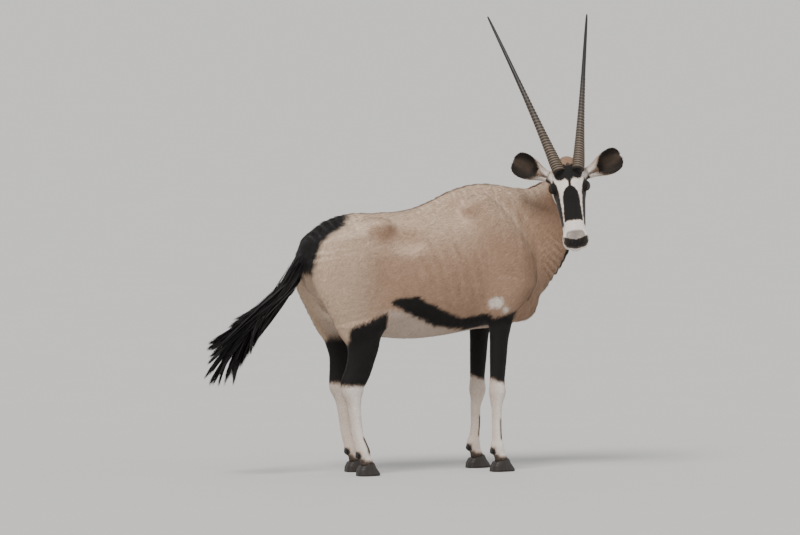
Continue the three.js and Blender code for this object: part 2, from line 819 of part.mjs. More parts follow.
function surfacePoint(frame, from, way) {
  const start = fromFrame(frame, from);
  const line = turned(frame, unit(way));
  let near = 0;
  let far = 160;
  for (let i = 0; i < 24; i += 1) {
    const middle = (near + far) / 2;
    if (form(plus(start, line, middle)) < 0) {
      near = middle;
    } else {
      far = middle;
    }
  }
  return near;
}

function mouthLine() {
  const inner = [];
  const outer = [];
  const marks = 15;
  for (let i = 0; i <= marks; i += 1) {
    const turn = radians(-118 + (236 * i) / marks);
    const way = [Math.cos(turn), Math.sin(turn), 0];
    const start = [196, 0, -46 + 8 * (1 - Math.cos(turn))];
    const reach = surfacePoint(HEAD, start, way);
    inner.push({ start, way, reach: reach - 7 });
    outer.push({ start, way, reach: reach + 12 });
  }
  const place = ({ start, way, reach }, lift) => fromFrame(HEAD, plus(plus(start, way, reach), [0, 0, lift]));
  const rings = inner.map((mark, i) => [
    place(mark, 0.8), place(outer[i], 3.4), place(outer[i], -3.4), place(mark, -0.8)]);
  return loft(rings);
}

function nostril(sign) {
  const stations = [
    [236, 17, 8, 4, 3],
    [243, 25, 2, 7, 4.5],
    [240, 33, -6, 6, 4],
    [231, 40, -8, 3.5, 2.5],
  ].map(([x, y, z, a, b]) => [x + 8, y * sign, z + 4, a * 1.9, b * 1.35]);
  return rod(stations, 6, turned(HEAD, [0.2, sign, -0.8]));
}

// Locks of hair.
// A lock is a flat strip that narrows to a point: its line, its widths and the way its flat faces.
function lock(line, width, thickness, facing) {
  const rings = [];
  const last = line.length - 1;
  for (let i = 0; i < last; i += 1) {
    const way = unit(minus(line[i + 1], line[Math.max(i - 1, 0)]));
    const t = i / last;
    const full = Math.sin(Math.PI * Math.min(0.28 + 0.62 * t, 0.97)) ** 0.8;
    const side = unit(cross(way, facing));
    const flat = cross(side, way);
    const w = width * full;
    const h = thickness * (1 - 0.5 * t);
    rings.push([
      plus(line[i], side, w), plus(line[i], flat, h), plus(line[i], side, -w), plus(line[i], flat, -h)]);
  }
  const vertices = [...rings.flat(), line[last]];
  const tip = vertices.length - 1;
  const faces = [0, 1, 2, 0, 2, 3];
  for (let r = 0; r < rings.length; r += 1) {
    for (let i = 0; i < 4; i += 1) {
      const a = r * 4 + i;
      const b = r * 4 + ((i + 1) % 4);
      if (r + 1 < rings.length) {
        faces.push(a, b + 4, b, a, a + 4, b + 4);
      } else {
        faces.push(a, tip, b);
      }
    }
  }
  return solidFrom(vertices, faces);
}

function fuse(first, others) {
  return others.reduce((solid, other) => solid.add(other), first);
}

// Tail.
const TAIL_LOCKS = 19;
const TUFT_SPREAD = [50, 44]; // how far the tuft stands out from its line, up or down and to the sides
const TUFT_RISE = [-0.78, 0, 0.62]; // square to the tail's line, up and back
// Where the locks end, x and z, in turn.
const TUFT_TIPS = [[-1012, 380], [-974, 374], [-938, 386], [-900, 408], [-1004, 440], [-990, 500], [-1014, 532]];

function tailLocks() {
  const random = randomFrom(41);
  const dock = smoothLine(TAIL_DOCK);
  const locks = [];
  for (let i = 0; i < TAIL_LOCKS; i += 1) {
    const start = 0.34 + 0.62 * (i / TAIL_LOCKS);
    const s = dock[Math.round(start * (dock.length - 1))];
    const around = 2.4 * i;
    const up = Math.sin(around);
    const aside = Math.cos(around);
    const root = plus([s[0], s[1] + 0.4 * s[4] * aside, s[2]], TUFT_RISE, 0.4 * s[3] * up);
    const [tipX, tipZ] = TUFT_TIPS[i % TUFT_TIPS.length];
    const end = [tipX + 14 * random(), 30 * aside + 16 * (random() - 0.5), tipZ + 12 * random()];
    const middle = mix(root, end, 0.5);
    const bulge = plus(plus(middle, TUFT_RISE, TUFT_SPREAD[0] * up), [0, 1, 0], TUFT_SPREAD[1] * aside);
    const line = [];
    for (let j = 0; j <= 5; j += 1) {
      const t = j / 5;
      line.push(mix(mix(root, bulge, t), mix(bulge, end, t), t));
    }
    const facing = unit(plus(times(TUFT_RISE, 0.5 * up), [0, 1, 0], aside + 0.15));
    locks.push(lock(line, 18, 5, facing));
  }
  return locks;
}

function tail() {
  const dock = rod(TAIL_DOCK, 8, [0, 1, 0], BODY, 2);
  return largest(fuse(dock, tailLocks()).intersect(regionSolid([TAIL_CUT[0]], -CUT_GAP / 2)));
}

// Hooves.
const CLAW_AROUND = 10;
const CLAW_GAP = 3; // width of the cleft between the two claws

function claw(foot, inward) {
  const centre = foot.foot;
  const outward = foot.sign * (inward ? -1 : 1);
  const length = foot.end === 'fore' ? 110 : 104;
  const outline = (share, width, middle, height) => Array.from({ length: CLAW_AROUND }, (_, i) => {
    const turn = (Math.PI * i) / (CLAW_AROUND - 1);
    const x = middle + 0.5 * length * share * Math.cos(turn);
    const y = CLAW_GAP / 2 + width * Math.sin(turn) ** 0.7 * (1 - 0.2 * Math.cos(turn));
    return [centre + x, foot.sign * LEG_SPREAD + outward * y, height(x)];
  });
  const rings = [
    outline(0.96, 33, 3, () => 0),
    outline(1.0, 35, 4, () => 7),
    outline(0.8, 32, -4, (x) => 0.6 * (CORONET + CORONET_SLOPE * x)),
    outline(0.62, 28, -4, (x) => CORONET + CORONET_SLOPE * x - CUT_GAP),
  ];
  return loft(outward > 0 ? rings : rings.map((ring) => ring.slice().reverse()));
}

// Mane.
const MANE_LOCKS = 18;

function maneLocks() {
  const random = randomFrom(7);
  const crest = smoothLine(NECK, 8);
  const locks = [];
  for (let i = 0; i < MANE_LOCKS; i += 1) {
    const n = Math.round(12 + (i / (MANE_LOCKS - 1)) * (crest.length - 20));
    const s = crest[n];
    const next = crest[Math.min(n + 1, crest.length - 1)];
    const along = unit(minus(next.slice(0, 3), crest[n - 1].slice(0, 3)));
    const side = unit(cross([0, 0, 1], along));
    const up = cross(along, side);
    const lean = (i % 2 ? 1 : -1) * (0.1 + 0.12 * random());
    const out = unit(plus(up, side, lean));
    let reach = 40;
    while (form(plus(s, out, reach)) < 0) {
      reach += 3;
    }
    const root = plus(s.slice(0, 3), out, reach - 16);
    const lie = unit(plus(plus(out, along, -0.55 - 0.3 * random()), side, 1.6 * lean));
    const line = [0, 1, 2, 3].map((j) => plus(plus(root, lie, 18 * j), along, -1.6 * j * j));
    locks.push(lock(line, 15, 6.5, side));
  }
  return locks;
}

// Colours.
const COLOURS = {
  fawn: { color: 0xb8977c, roughness: 0.85 },
  pale: { color: 0xcbb49c, roughness: 0.85 },
  dark: { color: 0x1d1816, roughness: 0.8 },
  white: { color: 0xe9e2da, roughness: 0.85 },
  horn: { color: 0x4a3b2d, roughness: 0.5 },
  hoof: { color: 0x2a2421, roughness: 0.55 },
  eye: { color: 0x120c0a, roughness: 0.12 },
};

const group = new THREE.Group();
group.name = 'gemsbok';

// Joins the ends of edges too short to matter, which crossing cuts leave behind.
function welded(solid) {
  const mesh = solid.getMesh();
  const faces = mesh.triVerts;
  const points = [];
  for (let i = 0; i < mesh.vertProperties.length; i += 3) {
    points.push(Array.from(mesh.vertProperties.subarray(i, i + 3)));
  }
  const owner = points.map((_, i) => i);
  const find = (i) => (owner[i] === i ? i : find(owner[i]));
  for (let i = 0; i < faces.length; i += 1) {
    const a = faces[i];
    const b = faces[i % 3 === 2 ? i - 2 : i + 1];
    if (size(minus(points[a], points[b])) < SHORTEST_EDGE) {
      owner[find(a)] = find(b);
    }
  }
  const kept = new Map();
  for (let i = 0; i < faces.length; i += 3) {
    const face = [0, 1, 2].map((n) => find(faces[i + n]));
    if (new Set(face).size === 3) {
      const key = [...face].sort((a, b) => a - b).join();
      if (kept.has(key)) {
        kept.delete(key);
      } else {
        kept.set(key, face);
      }
    }
  }
  return solidFrom(points, [...kept.values()].flat());
}

function addNode(name, solid, look) {
  const mesh = largest(welded(solid)).getMesh();
  const geometry = new THREE.BufferGeometry();
  geometry.setAttribute('position', new THREE.BufferAttribute(new Float32Array(mesh.vertProperties), 3));
  geometry.setIndex(new THREE.BufferAttribute(new Uint32Array(mesh.triVerts), 1));
  const faceted = geometry.toNonIndexed();
  faceted.computeVertexNormals();
  const material = new THREE.MeshStandardMaterial({ metalness: 0, ...COLOURS[look] });
  material.name = look;
  const node = new THREE.Mesh(faceted, material);
  node.name = name;
  group.add(node);
}

// Assembly.
const legCuts = FEET.map(legCut);

const torso = fleshIn([NECK_BASE], [...legCuts, TAIL_CUT],
  [-760, -260, 480], [590, 260, 1300], [53, 49, 53]);
addNode('torso', torso, 'fawn');

const neckRegion = [opposite(NECK_BASE)];
const neck = fleshIn(neckRegion, [HEAD_REGION], [290, -330, 600], [720, 160, 1400], [33, 31, 33]);
const maned = fuse(neck, maneLocks()).intersect(regionSolid(neckRegion, -CUT_GAP / 2));
addNode('neck', largest(maned.subtract(regionSolid(HEAD_REGION, CUT_GAP / 2))), 'fawn');

function headSolid() {
  let solid = fleshIn(HEAD_REGION, [], [380, -480, 880], [700, -60, 1440], [18.5, 18.5, 18.5]);
  for (const sign of [1, -1]) {
    const earBegins = earStart(sign);
    const hornBegins = hornStart(sign);
    solid = solid.subtract(axisBox(plus(earBegins.at, earBegins.way, -CUT_GAP / 2), earBegins.way, 44, 160));
    solid = solid.subtract(axisBox(plus(hornBegins.at, hornBegins.way, -CUT_GAP / 2), hornBegins.way, 40, 120));
    solid = solid.subtract(eyeBall(sign, EYE_RADIUS + CUT_GAP)).subtract(eyeOpening(sign));
    solid = solid.subtract(nostril(sign));
  }
  return largest(solid.subtract(mouthLine()));
}
addNode('head', headSolid(), 'white');

for (const sign of [1, -1]) {
  const side = sign > 0 ? 'left' : 'right';
  addNode(`ear_${side}`, ear(sign), 'pale');
  const { at, way } = hornStart(sign);
  addNode(`horn_${side}`, largest(horn(sign).subtract(beyond(plus(at, way, CUT_GAP / 2), times(way, -1)))), 'horn');
  addNode(`eye_${side}`, eyeBall(sign, EYE_RADIUS), 'eye');
}
addNode('tail', tail(), 'dark');

FEET.forEach((foot, i) => {
  const fore = foot.end === 'fore';
  const x = foot.foot;
  const y = foot.sign * LEG_SPREAD;
  const middle = midCut(foot);
  const upperLow = [fore ? 140 : -580, foot.sign > 0 ? 0 : -260, 230];
  const upperHigh = [fore ? 420 : -150, foot.sign > 0 ? 260 : 0, fore ? 800 : 860];
  const upper = fleshIn([...legCuts[i], middle], [], upperLow, upperHigh, [23, 22, 38]);
  addNode(`${foot.end}leg_${foot.side}_upper`, upper, 'fawn');
  const lower = fleshIn([opposite(middle), coronetCut(foot)], [],
    [x - 190, y - 60, 0], [x + 90, y + 60, 400], [13.5, 13, 28]);
  addNode(`${foot.end}leg_${foot.side}_lower`, lower, 'white');
  addNode(`hoof_${foot.end}_${foot.side}_inner`, claw(foot, true), 'hoof');
  addNode(`hoof_${foot.end}_${foot.side}_outer`, claw(foot, false), 'hoof');
});

// The origin is the middle of the whole box's underside.
const whole = new THREE.Box3().setFromObject(group);
const middle = whole.getCenter(new THREE.Vector3());
for (const node of group.children) {
  node.geometry.translate(-middle.x, -middle.y, -whole.min.z);
}

export default group;
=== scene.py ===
# Gemsbok standing on a plain floor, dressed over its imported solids. The frame is in metres, Z up.
# The body's form is worked out in millimetres in the animal's own axes and placed by its hooves.
import math

import bmesh
import bpy
import numpy as np
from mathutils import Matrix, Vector


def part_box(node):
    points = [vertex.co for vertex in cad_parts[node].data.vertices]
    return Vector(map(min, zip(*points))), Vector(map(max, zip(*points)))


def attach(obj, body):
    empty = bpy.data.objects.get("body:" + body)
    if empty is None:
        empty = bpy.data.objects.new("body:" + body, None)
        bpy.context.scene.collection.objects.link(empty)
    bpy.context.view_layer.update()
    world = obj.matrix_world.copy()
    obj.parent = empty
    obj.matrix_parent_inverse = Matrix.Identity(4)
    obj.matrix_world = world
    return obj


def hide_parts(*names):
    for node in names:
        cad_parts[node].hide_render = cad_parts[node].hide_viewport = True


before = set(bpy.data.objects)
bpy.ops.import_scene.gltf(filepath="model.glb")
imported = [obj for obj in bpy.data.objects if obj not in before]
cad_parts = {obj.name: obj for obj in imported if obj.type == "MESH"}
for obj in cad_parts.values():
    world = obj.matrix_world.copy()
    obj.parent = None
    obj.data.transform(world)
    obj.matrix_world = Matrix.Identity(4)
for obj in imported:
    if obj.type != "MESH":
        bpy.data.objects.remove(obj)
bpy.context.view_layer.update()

# The fore left hoof's outer claw ends here in the animal's own axes, front end and inner side.
CLAW_FRONT, CLAW_INNER = 324.0, 111.5
claw_low, claw_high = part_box("hoof_fore_left_outer")
SHIFT = np.array([claw_high[0] * 1000 - CLAW_FRONT, claw_low[1] * 1000 - CLAW_INNER, 0.0])


def placed(points):
    """The animal's millimetres as metres in the frame."""
    return (np.asarray(points, float) + SHIFT) / 1000


# Sizes of the body, as its solids have them. A station is x, y, z, half depth, half width.
# Left is 1 and right is -1.
SIDES = (1, -1)
LEG_SPREAD = 110
CORONET, CORONET_SLOPE = 47, 0.22
HORN_LENGTH, HORN_BASE, HORN_SUNK = 800, 25, 30
EAR_LENGTH, EAR_THICKNESS = 182, 3.2
EYE_RADIUS = 21
FETLOCK_ROW, DEWCLAW_BACK, DEWCLAW_HEIGHT, DEWCLAW_APART = 10, 20, 86, 12
DEWCLAW_SIZE = (11, 9, 13)
TRUNK = [
    (-545, 0, 885, 118, 90), (-470, 0, 890, 190, 135), (-380, 0, 880, 232, 160),
    (-250, 0, 850, 262, 178), (-100, 0, 838, 270, 194), (50, 0, 848, 268, 194),
    (180, 0, 868, 268, 178), (300, 0, 868, 262, 156), (390, 0, 850, 222, 122),
    (440, 0, 850, 160, 92),
]
WITHERS = [
    (-90, 0, 1030, 60, 60), (20, 0, 1080, 66, 58), (120, 0, 1125, 72, 52),
    (215, 0, 1146, 74, 48), (320, 0, 1135, 72, 48), (400, -6, 1120, 72, 50),
]
SHOULDER_BLADE = [
    (185, 78, 1130, 70, 34), (250, 108, 1010, 98, 52), (325, 122, 895, 98, 58),
    (372, 116, 800, 72, 52),
]
UPPER_ARM = [(365, 112, 800, 70, 50), (310, 120, 765, 88, 56), (262, 116, 705, 72, 50)]
HAUNCH = [
    (-425, 92, 985, 130, 76), (-412, 104, 900, 172, 86), (-395, 116, 800, 165, 82),
    (-383, 126, 715, 132, 70), (-364, 126, 640, 103, 56),
]
NECK = [
    (330, 0, 920, 240, 118), (400, -2, 965, 232, 108), (464, -12, 1010, 192, 96),
    (530, -44, 1082, 146, 82), (575, -88, 1165, 110, 74), (572, -146, 1236, 86, 66),
    (552, -200, 1272, 66, 60),
]
SKULL = [
    (-112, 0, -2, 58, 50), (-85, 0, 0, 70, 60), (-40, 0, -8, 82, 70), (0, 0, -15, 84, 72),
    (50, 0, -17, 75, 64), (100, 0, -14, 61, 58), (150, 0, -12, 50, 52), (195, 0, -14, 42, 49),
    (228, 0, -19, 37, 51), (240, 0, -22, 33, 48),
]
TAIL_DOCK = [
    (-560, 0, 912, 30, 27), (-600, 0, 885, 27, 25), (-632, 0, 818, 23, 21),
    (-682, 0, 764, 19, 18), (-735, 0, 715, 15, 14), (-790, 0, 660, 11, 10),
]


def fore_leg(cannon, fetlock, foot):
    """The stations of a foreleg, from the places of its cannon, fetlock and hoof along the body."""
    return [
        (264, 113, 705, 70, 48), (276, 111, 640, 56, 41), (272, 110, 560, 43, 35),
        (267, 110, 450, 36, 30), (264, 110, 385, 33, 30), (265, 110, 338, 37, 33),
        (262, 110, 300, 29, 27), (cannon, 110, 262, 23, 21), (cannon, 110, 195, 21.5, 19),
        ((cannon + fetlock) / 2, 110, 140, 23, 21), (fetlock, 110, 106, 30, 27),
        (fetlock + 9, 110, 76, 26, 25), (foot - 2, 110, 50, 29, 28), (foot + 4, 110, 34, 32, 30),
    ]


def hind_leg(step, foot):
    """The stations of a hind leg that stands `step` further forward below the stifle."""
    return [
        (-364, 126, 640, 103, 58), (-356, 124, 560, 76, 47), (-362 + 0.3 * step, 120, 500, 62, 40),
        (-377 + 0.6 * step, 116, 440, 57, 35), (-397 + step, 113, 395, 54, 32),
        (-399 + step, 112, 360, 50, 31), (-394 + step, 111, 325, 37, 28),
        (-388 + step, 110, 275, 28, 24), (-374 + step, 110, 175, 26, 22),
        (-358 + step, 110, 125, 29, 26), (-350 + step, 110, 102, 31, 28),
        ((foot - 350 + step) / 2, 110, 74, 26, 26), (foot - 2, 110, 50, 29, 28),
        (foot + 4, 110, 34, 32, 30),
    ]


# End, side, its sign, the middle of the hoof along the body, and the leg's stations from the top.
FEET = [
    ("fore", "left", 1, 265, fore_leg(256, 246, 265)),
    ("fore", "right", -1, 285, fore_leg(262, 265, 285)),
    ("hind", "left", 1, -296, hind_leg(35, -296)),
    ("hind", "right", -1, -330, hind_leg(0, -330)),
]


def unit(v):
    v = np.asarray(v, float)
    return v / np.linalg.norm(v)


# How the head is held: its long axis, its left and the way out of the forehead.
HEAD_TURN, HEAD_PITCH, HEAD_ROLL = map(math.radians, (-110, 66, 6))
HEAD_PLACE = np.array([521.0, -286.0, 1206.0])


def head_axes():
    """The ways of the nose, the left side and the forehead."""
    ahead = np.array([math.cos(HEAD_TURN), math.sin(HEAD_TURN), 0])
    left = np.array([-math.sin(HEAD_TURN), math.cos(HEAD_TURN), 0])
    up = np.array([0, 0, 1.0])
    lean_left = left * math.cos(HEAD_ROLL) + up * math.sin(HEAD_ROLL)
    lean_up = up * math.cos(HEAD_ROLL) - left * math.sin(HEAD_ROLL)
    nose = ahead * math.cos(HEAD_PITCH) - lean_up * math.sin(HEAD_PITCH)
    brow = ahead * math.sin(HEAD_PITCH) + lean_up * math.cos(HEAD_PITCH)
    return np.array([nose, lean_left, brow])


HEAD = head_axes()
BODY = np.eye(3)
ORIGIN = np.zeros(3)


def from_head(p):
    return HEAD_PLACE + np.asarray(p, float) @ HEAD


def in_head(points):
    return (points - HEAD_PLACE) @ HEAD.T


def side_of(p, sign):
    """A place given for the left side, on the side that the sign says."""
    return np.array([p[0], p[1] * sign, p[2]], float)


HORN_FOOT, EAR_FOOT, EYE_PLACE = (-100, 50, 60), (-60, 66, -14), (0, 65, 17)
EAR_LIE = {1: unit((-68, 158, 0)), -1: unit((-98, -150, 0))}
EAR_OPEN = unit((0.5, 0.1, 0.86))
HORN_LIE = {1: unit(HEAD @ (231, 445, 597)), -1: unit(HEAD @ (-97, 492, 601))}


def horn_root(sign):
    """Where the horn starts, sunk under the skin of the crown."""
    return side_of(HORN_FOOT, sign) - HORN_LIE[sign] * HORN_SUNK


# Distances to tubes and ovals, and their smooth union.
FAR_OFF = 1e9


def smooth_line(stations, steps=4):
    """Stations joined by a smooth curve that passes through each of them."""
    rows = np.array(stations, float)
    last = len(rows) - 1
    line = []
    for i in range(last):
        a, b, c, d = rows[max(i - 1, 0)], rows[i], rows[i + 1], rows[min(i + 2, last)]
        for t in np.arange(steps) / steps:
            line.append(0.5 * (2 * b + (c - a) * t + (2 * a - 5 * b + 4 * c - d) * t * t
                               + (3 * b - a - 3 * c + d) * t ** 3))
    line.append(rows[last])
    return np.array(line)


def stretched(u, s, w, a, b, r):
    """About the distance to an oval with radii a, b and r."""
    k0 = np.sqrt((u / a) ** 2 + (s / b) ** 2 + (w / r) ** 2)
    k1 = np.sqrt((u / a ** 2) ** 2 + (s / b ** 2) ** 2 + (w / r ** 2) ** 2)
    return np.where(k0 < 1e-4, -np.minimum(a, b), k0 * (k0 - 1) / np.maximum(k1, 1e-9))


class Tube:
    """A tube along a smooth line, deep across it and wide to its sides."""

    def __init__(self, stations, blend, origin=ORIGIN, axes=BODY, cap=30, level=False):
        line = smooth_line(stations)
        self.blend, self.cap = blend, cap
        self.at = (origin + line[:, :3] @ axes)
        self.a, self.b = line[:, 3], line[:, 4]
        span = np.diff(self.at, axis=0)
        self.length = np.linalg.norm(span, axis=1)
        self.along = span / self.length[:, None]
        guide = np.cross([0, 0, 1.0], self.along) if level else np.tile(axes[1], (len(span), 1))
        side = guide - self.along * (guide * self.along).sum(1)[:, None]
        self.side = side / np.linalg.norm(side, axis=1)[:, None]
        self.depth = np.cross(self.along, self.side)
        reach = max(self.a.max(), self.b.max()) + cap
        self.low, self.high = self.at.min(0) - reach, self.at.max(0) + reach

    def link(self, p, i):
        q = p - self.at[i].astype(p.dtype)
        reach = q @ self.along[i].astype(p.dtype)
        on = np.clip(reach, 0, self.length[i])
        t = on / self.length[i]
        a = self.a[i] + (self.a[i + 1] - self.a[i]) * t
        b = self.b[i] + (self.b[i + 1] - self.b[i]) * t
        u, s = q @ self.depth[i].astype(p.dtype), q @ self.side[i].astype(p.dtype)
        return u, s, reach - on, a, b, t

    def distance(self, p):
        least = np.full(len(p), FAR_OFF, p.dtype)
        for i in range(len(self.length)):
            u, s, w, a, b, _ = self.link(p, i)
            least = np.minimum(least, stretched(u, s, w, a, b, self.cap))
        return least

    def local(self, p):
        """Share along the tube, and the places across its depth and width, for each point."""
        best = np.full(len(p), FAR_OFF)
        found = np.zeros((len(p), 3))
        way = np.zeros((len(p), 3))
        for i in range(len(self.length)):
            u, s, w, a, b, t = self.link(p, i)
            d = stretched(u, s, w, a, b, self.cap)
            near = d < best
            best[near] = d[near]
            found[near] = np.stack([(i + t) / len(self.length), u, s], 1)[near]
            way[near] = self.along[i]
        return found, way


class Oval:
    def __init__(self, centre, radii, blend, origin=ORIGIN, axes=BODY):
        self.at = origin + np.asarray(centre, float) @ axes
        self.radii, self.blend, self.axes = radii, blend, axes
        self.low, self.high = self.at - max(radii), self.at + max(radii)

    def distance(self, p):
        q = ((p - self.at) @ self.axes.T).astype(p.dtype)
        return stretched(q[:, 0], q[:, 1], q[:, 2], *self.radii)


# A form blends with what lies within REACH of it. Values outside every form are OUTSIDE.
REACH, OUTSIDE = 90, 1e3


def head_tube(stations, blend, cap):
    return Tube(stations, blend, HEAD_PLACE, HEAD, cap)


def head_oval(centre, radii, blend):
    return Oval(centre, radii, blend, HEAD_PLACE, HEAD)


def mirrored(stations, sign):
    """Stations given for the left side, on the side that the sign says."""
    return [(x, y * sign, *rest) for x, y, *rest in stations]


def leg_forms(sign, line):
    """One leg, with its two dewclaws behind the fetlock."""
    x, y = line[FETLOCK_ROW][0] - DEWCLAW_BACK, sign * LEG_SPREAD
    dewclaws = [Oval((x, y + apart, DEWCLAW_HEIGHT), DEWCLAW_SIZE, 12)
                for apart in (DEWCLAW_APART, -DEWCLAW_APART)]
    return [Tube(mirrored(line, sign), 34, cap=24), *dewclaws]


def stub(sign, foot, lie, inner, reach, widths, cap, blend):
    """The short root that an ear or a horn stands on, joined to the skull."""
    end = np.asarray(foot) + lie * reach
    stations = [*mirrored([inner], sign), (*foot, *widths[0]), (*end, *widths[1])]
    return head_tube(stations, blend, cap)


# Inner end, reach, widths at the foot and at the end, cap and blend.
EAR_STUB = ((-40, 44, -14, 34, 30), 60, ((27, 25), (25, 24)), 10, 14)
HORN_STUB = ((-78, 42, 16, 24, 24), 8, ((23, 23), (21, 21)), 8, 12)

# Ovals that fill out the forms: centre, radii and blend. Those off the middle have a mirror twin.
ELBOW = ((235, 108, 800), (88, 52, 96), 40)
STIFLE = ((-276, 140, 700), (58, 42, 74), 40)
HIP_BONE = ((-276, 108, 1046), (56, 32, 34), 60)
FLANK_FOLD = ((-215, 138, 745), (60, 26, 88), 50)
BRISKET = ((404, 0, 704), (62, 78, 64), 60)
CROWN = ((-58, 0, 30), (58, 54, 28), 24)
JAW = ((-12, 46, -62), (56, 24, 52), 26)
BROW = ((-8, 59, 33), (28, 15, 12), 14)
EYE_BED = (EYE_PLACE, (23.8, 23.8, 23.8), 8)
CHIN = ((226, 0, -66), (34, 36, 24), 16)
NOSE_WING = ((228, 30, 2), (30, 22, 20), 14)
UPPER_LIP = ((226, 34, -30), (34, 20, 26), 16)
FLANK_HOLLOW = ((-166, 182, 1014), (70, 42, 54), 44)
CHEEK_HOLLOW = ((100, 62, -52), (60, 14, 20), 24)


def twins(oval, made=Oval):
    """The same oval on both sides."""
    centre, radii, blend = oval
    return [made(side_of(centre, sign), radii, blend) for sign in SIDES]


def body_forms():
    """The forms that are added to the body and those carved out of it, in the order they blend."""
    added = [Tube(TRUNK, 1, cap=42), Tube(WITHERS, 70, cap=50)]
    added += [Tube(mirrored(SHOULDER_BLADE, s), 36, cap=40) for s in SIDES]
    added += [Tube(mirrored(UPPER_ARM, s), 34, cap=40) for s in SIDES]
    added += twins(ELBOW)
    added += [Tube(mirrored(HAUNCH, s), 48, cap=60) for s in SIDES]
    added += twins(STIFLE) + twins(HIP_BONE) + twins(FLANK_FOLD)
    added += [NECK_TUBE, Oval(*BRISKET)]
    for _, _, sign, _, line in FEET:
        added += leg_forms(sign, line)
    added += [head_tube(SKULL, 34, 26), head_oval(*CROWN)]
    added += twins(JAW, head_oval) + twins(BROW, head_oval) + twins(EYE_BED, head_oval)
    added.append(head_oval(*CHIN))
    added += twins(NOSE_WING, head_oval) + twins(UPPER_LIP, head_oval)
    added += [stub(s, side_of(EAR_FOOT, s), EAR_LIE[s], *EAR_STUB) for s in SIDES]
    added += [stub(s, horn_root(s), HORN_LIE[s], *HORN_STUB) for s in SIDES]
    added.append(DOCK_TUBE)
    return added, twins(FLANK_HOLLOW) + twins(CHEEK_HOLLOW, head_oval)


NECK_TUBE = Tube(NECK, 60, cap=40, level=True)
DOCK_TUBE = Tube(TAIL_DOCK, 30, cap=10)
ADDED, CARVED = body_forms()


def ramp(x, low, high):
    """0 below low and 1 above high, eased between them."""
    t = np.clip((x - low) / (high - low), 0, 1)
    return t * t * (3 - 2 * t)


def reading(pairs, x):
    """The value at x, read between pairs of a place and its value."""
    return np.interp(x, *np.transpose(pairs))


def ridge(x, width):
    """1 along the middle, falling smoothly to nothing at about twice the width."""
    return np.exp(-(x / width) ** 2)


def body_form(p):
    """Below 0 inside the body and above 0 outside it, about a distance in millimetres near its surface."""
    value = np.full(len(p), OUTSIDE, p.dtype)
    for part, carving in [(q, False) for q in ADDED] + [(q, True) for q in CARVED]:
        away = np.linalg.norm(np.maximum(np.maximum(part.low - p, p - part.high), 0), axis=1)
        close = away < REACH
        if not close.any():
            continue
        d = part.distance(p[close])
        old = value[close]
        if carving:
            near = np.maximum(part.blend - np.abs(old + d), 0)
            value[close] = np.maximum(old, -d) + near * near / (4 * part.blend)
        else:
            near = np.maximum(part.blend - np.abs(old - d), 0)
            value[close] = np.minimum(old, d) - near * near / (4 * part.blend)
    return value


COAT_DEPTH, LESS_ON_HEAD, LESS_ON_LEGS = 3.2, 2.2, 2.0
HOOF_REACH, HOOF_INNER = 90, 30
RIB_SPACING, RIB_SLANT, RIB_HEIGHT = 58, 0.32, 1.7


def coat_depth(p):
    """How far the skin lies inside the solids, which is the depth of the fur."""
    h = in_head(p)
    head = ramp(h[:, 0], -125, -60) * ramp(-np.abs(h[:, 1]), -150, -120)
    legs = ramp(-p[:, 2], -600, -480)
    return COAT_DEPTH - LESS_ON_HEAD * np.maximum(head, 0) - LESS_ON_LEGS * legs * (1 - head)


def foot_cut(p):
    """Depth below the upper edge of the hooves, positive inside the hoof."""
    cut = np.full(len(p), -OUTSIDE, p.dtype)
    for _, _, sign, foot, _ in FEET:
        near = (np.abs(p[:, 0] - foot) < HOOF_REACH) & (p[:, 1] * sign > HOOF_INNER)
        depth = CORONET + CORONET_SLOPE * (p[:, 0] - foot) - p[:, 2]
        cut = np.where(near, np.maximum(cut, depth), cut)
    return cut


def ribs(p):
    """1 along each rib and 0 between them, on the side of the chest."""
    x, y, z = p.T
    where = ramp(x, -190, -100) * ramp(-x, -250, -150) * ramp(np.abs(y), 110, 150)
    where = where * ramp(z, 690, 780) * ramp(-z, -1040, -940)
    return where * (0.5 + 0.5 * np.sin((x + RIB_SLANT * (z - 850)) * 2 * np.pi / RIB_SPACING))


def skin_form(p):
    """The skin, that ends at the upper edges of the hooves."""
    return np.maximum(body_form(p) + coat_depth(p) + RIB_HEIGHT * ribs(p), foot_cut(p))


# Eyes, and the small forms of the face that only the fine skin has.
def eye_axes(sign):
    """The ways to the front, up and straight out of an eye."""
    outward = unit(side_of((0.28, 0.86, 0.38), sign) @ HEAD)
    forward = unit(HEAD[0] - outward * (HEAD[0] @ outward))
    return np.array([forward, np.cross(outward, forward), outward])


EYES = {sign: (from_head(side_of(EYE_PLACE, sign)), eye_axes(sign)) for sign in SIDES}
LID_LENGTH, LID_HEIGHT = 16.5, 10.5
LID_RIM, LID_CREASE, LID_FOLD = 2.0, 1.3, 1.6
# The height of the mouth's line over the jaw, by the turn in degrees round the muzzle.
MOUTH_RISE = [(0, -11), (20, -7), (40, 1), (60, 4), (85, -12), (120, -33)]
MOUTH_DEEP, LIP_SWELL = 5.5, 1.6
NOSTRIL_DEEP, NOSTRIL_RIM = 11, 2.0
FACE_REACH = 46
NOSTRIL = [(240, 14, 12), (249, 20, 9), (253, 27, 3), (250, 34, -4), (240, 40, -6)]


def polyline_distance(p, line):
    """Each point's distance to the line and its share along it."""
    line = np.asarray(line, float)
    least = np.full(len(p), FAR_OFF)
    share = np.zeros(len(p))
    for i, (a, b) in enumerate(zip(line[:-1], line[1:])):
        t = np.clip(((p - a) @ (b - a)) / ((b - a) @ (b - a)), 0, 1)
        d = np.linalg.norm(p - a - t[:, None] * (b - a), axis=1)
        near = d < least
        least[near] = d[near]
        share[near] = (i + t[near]) / (len(line) - 1)
    return least, share


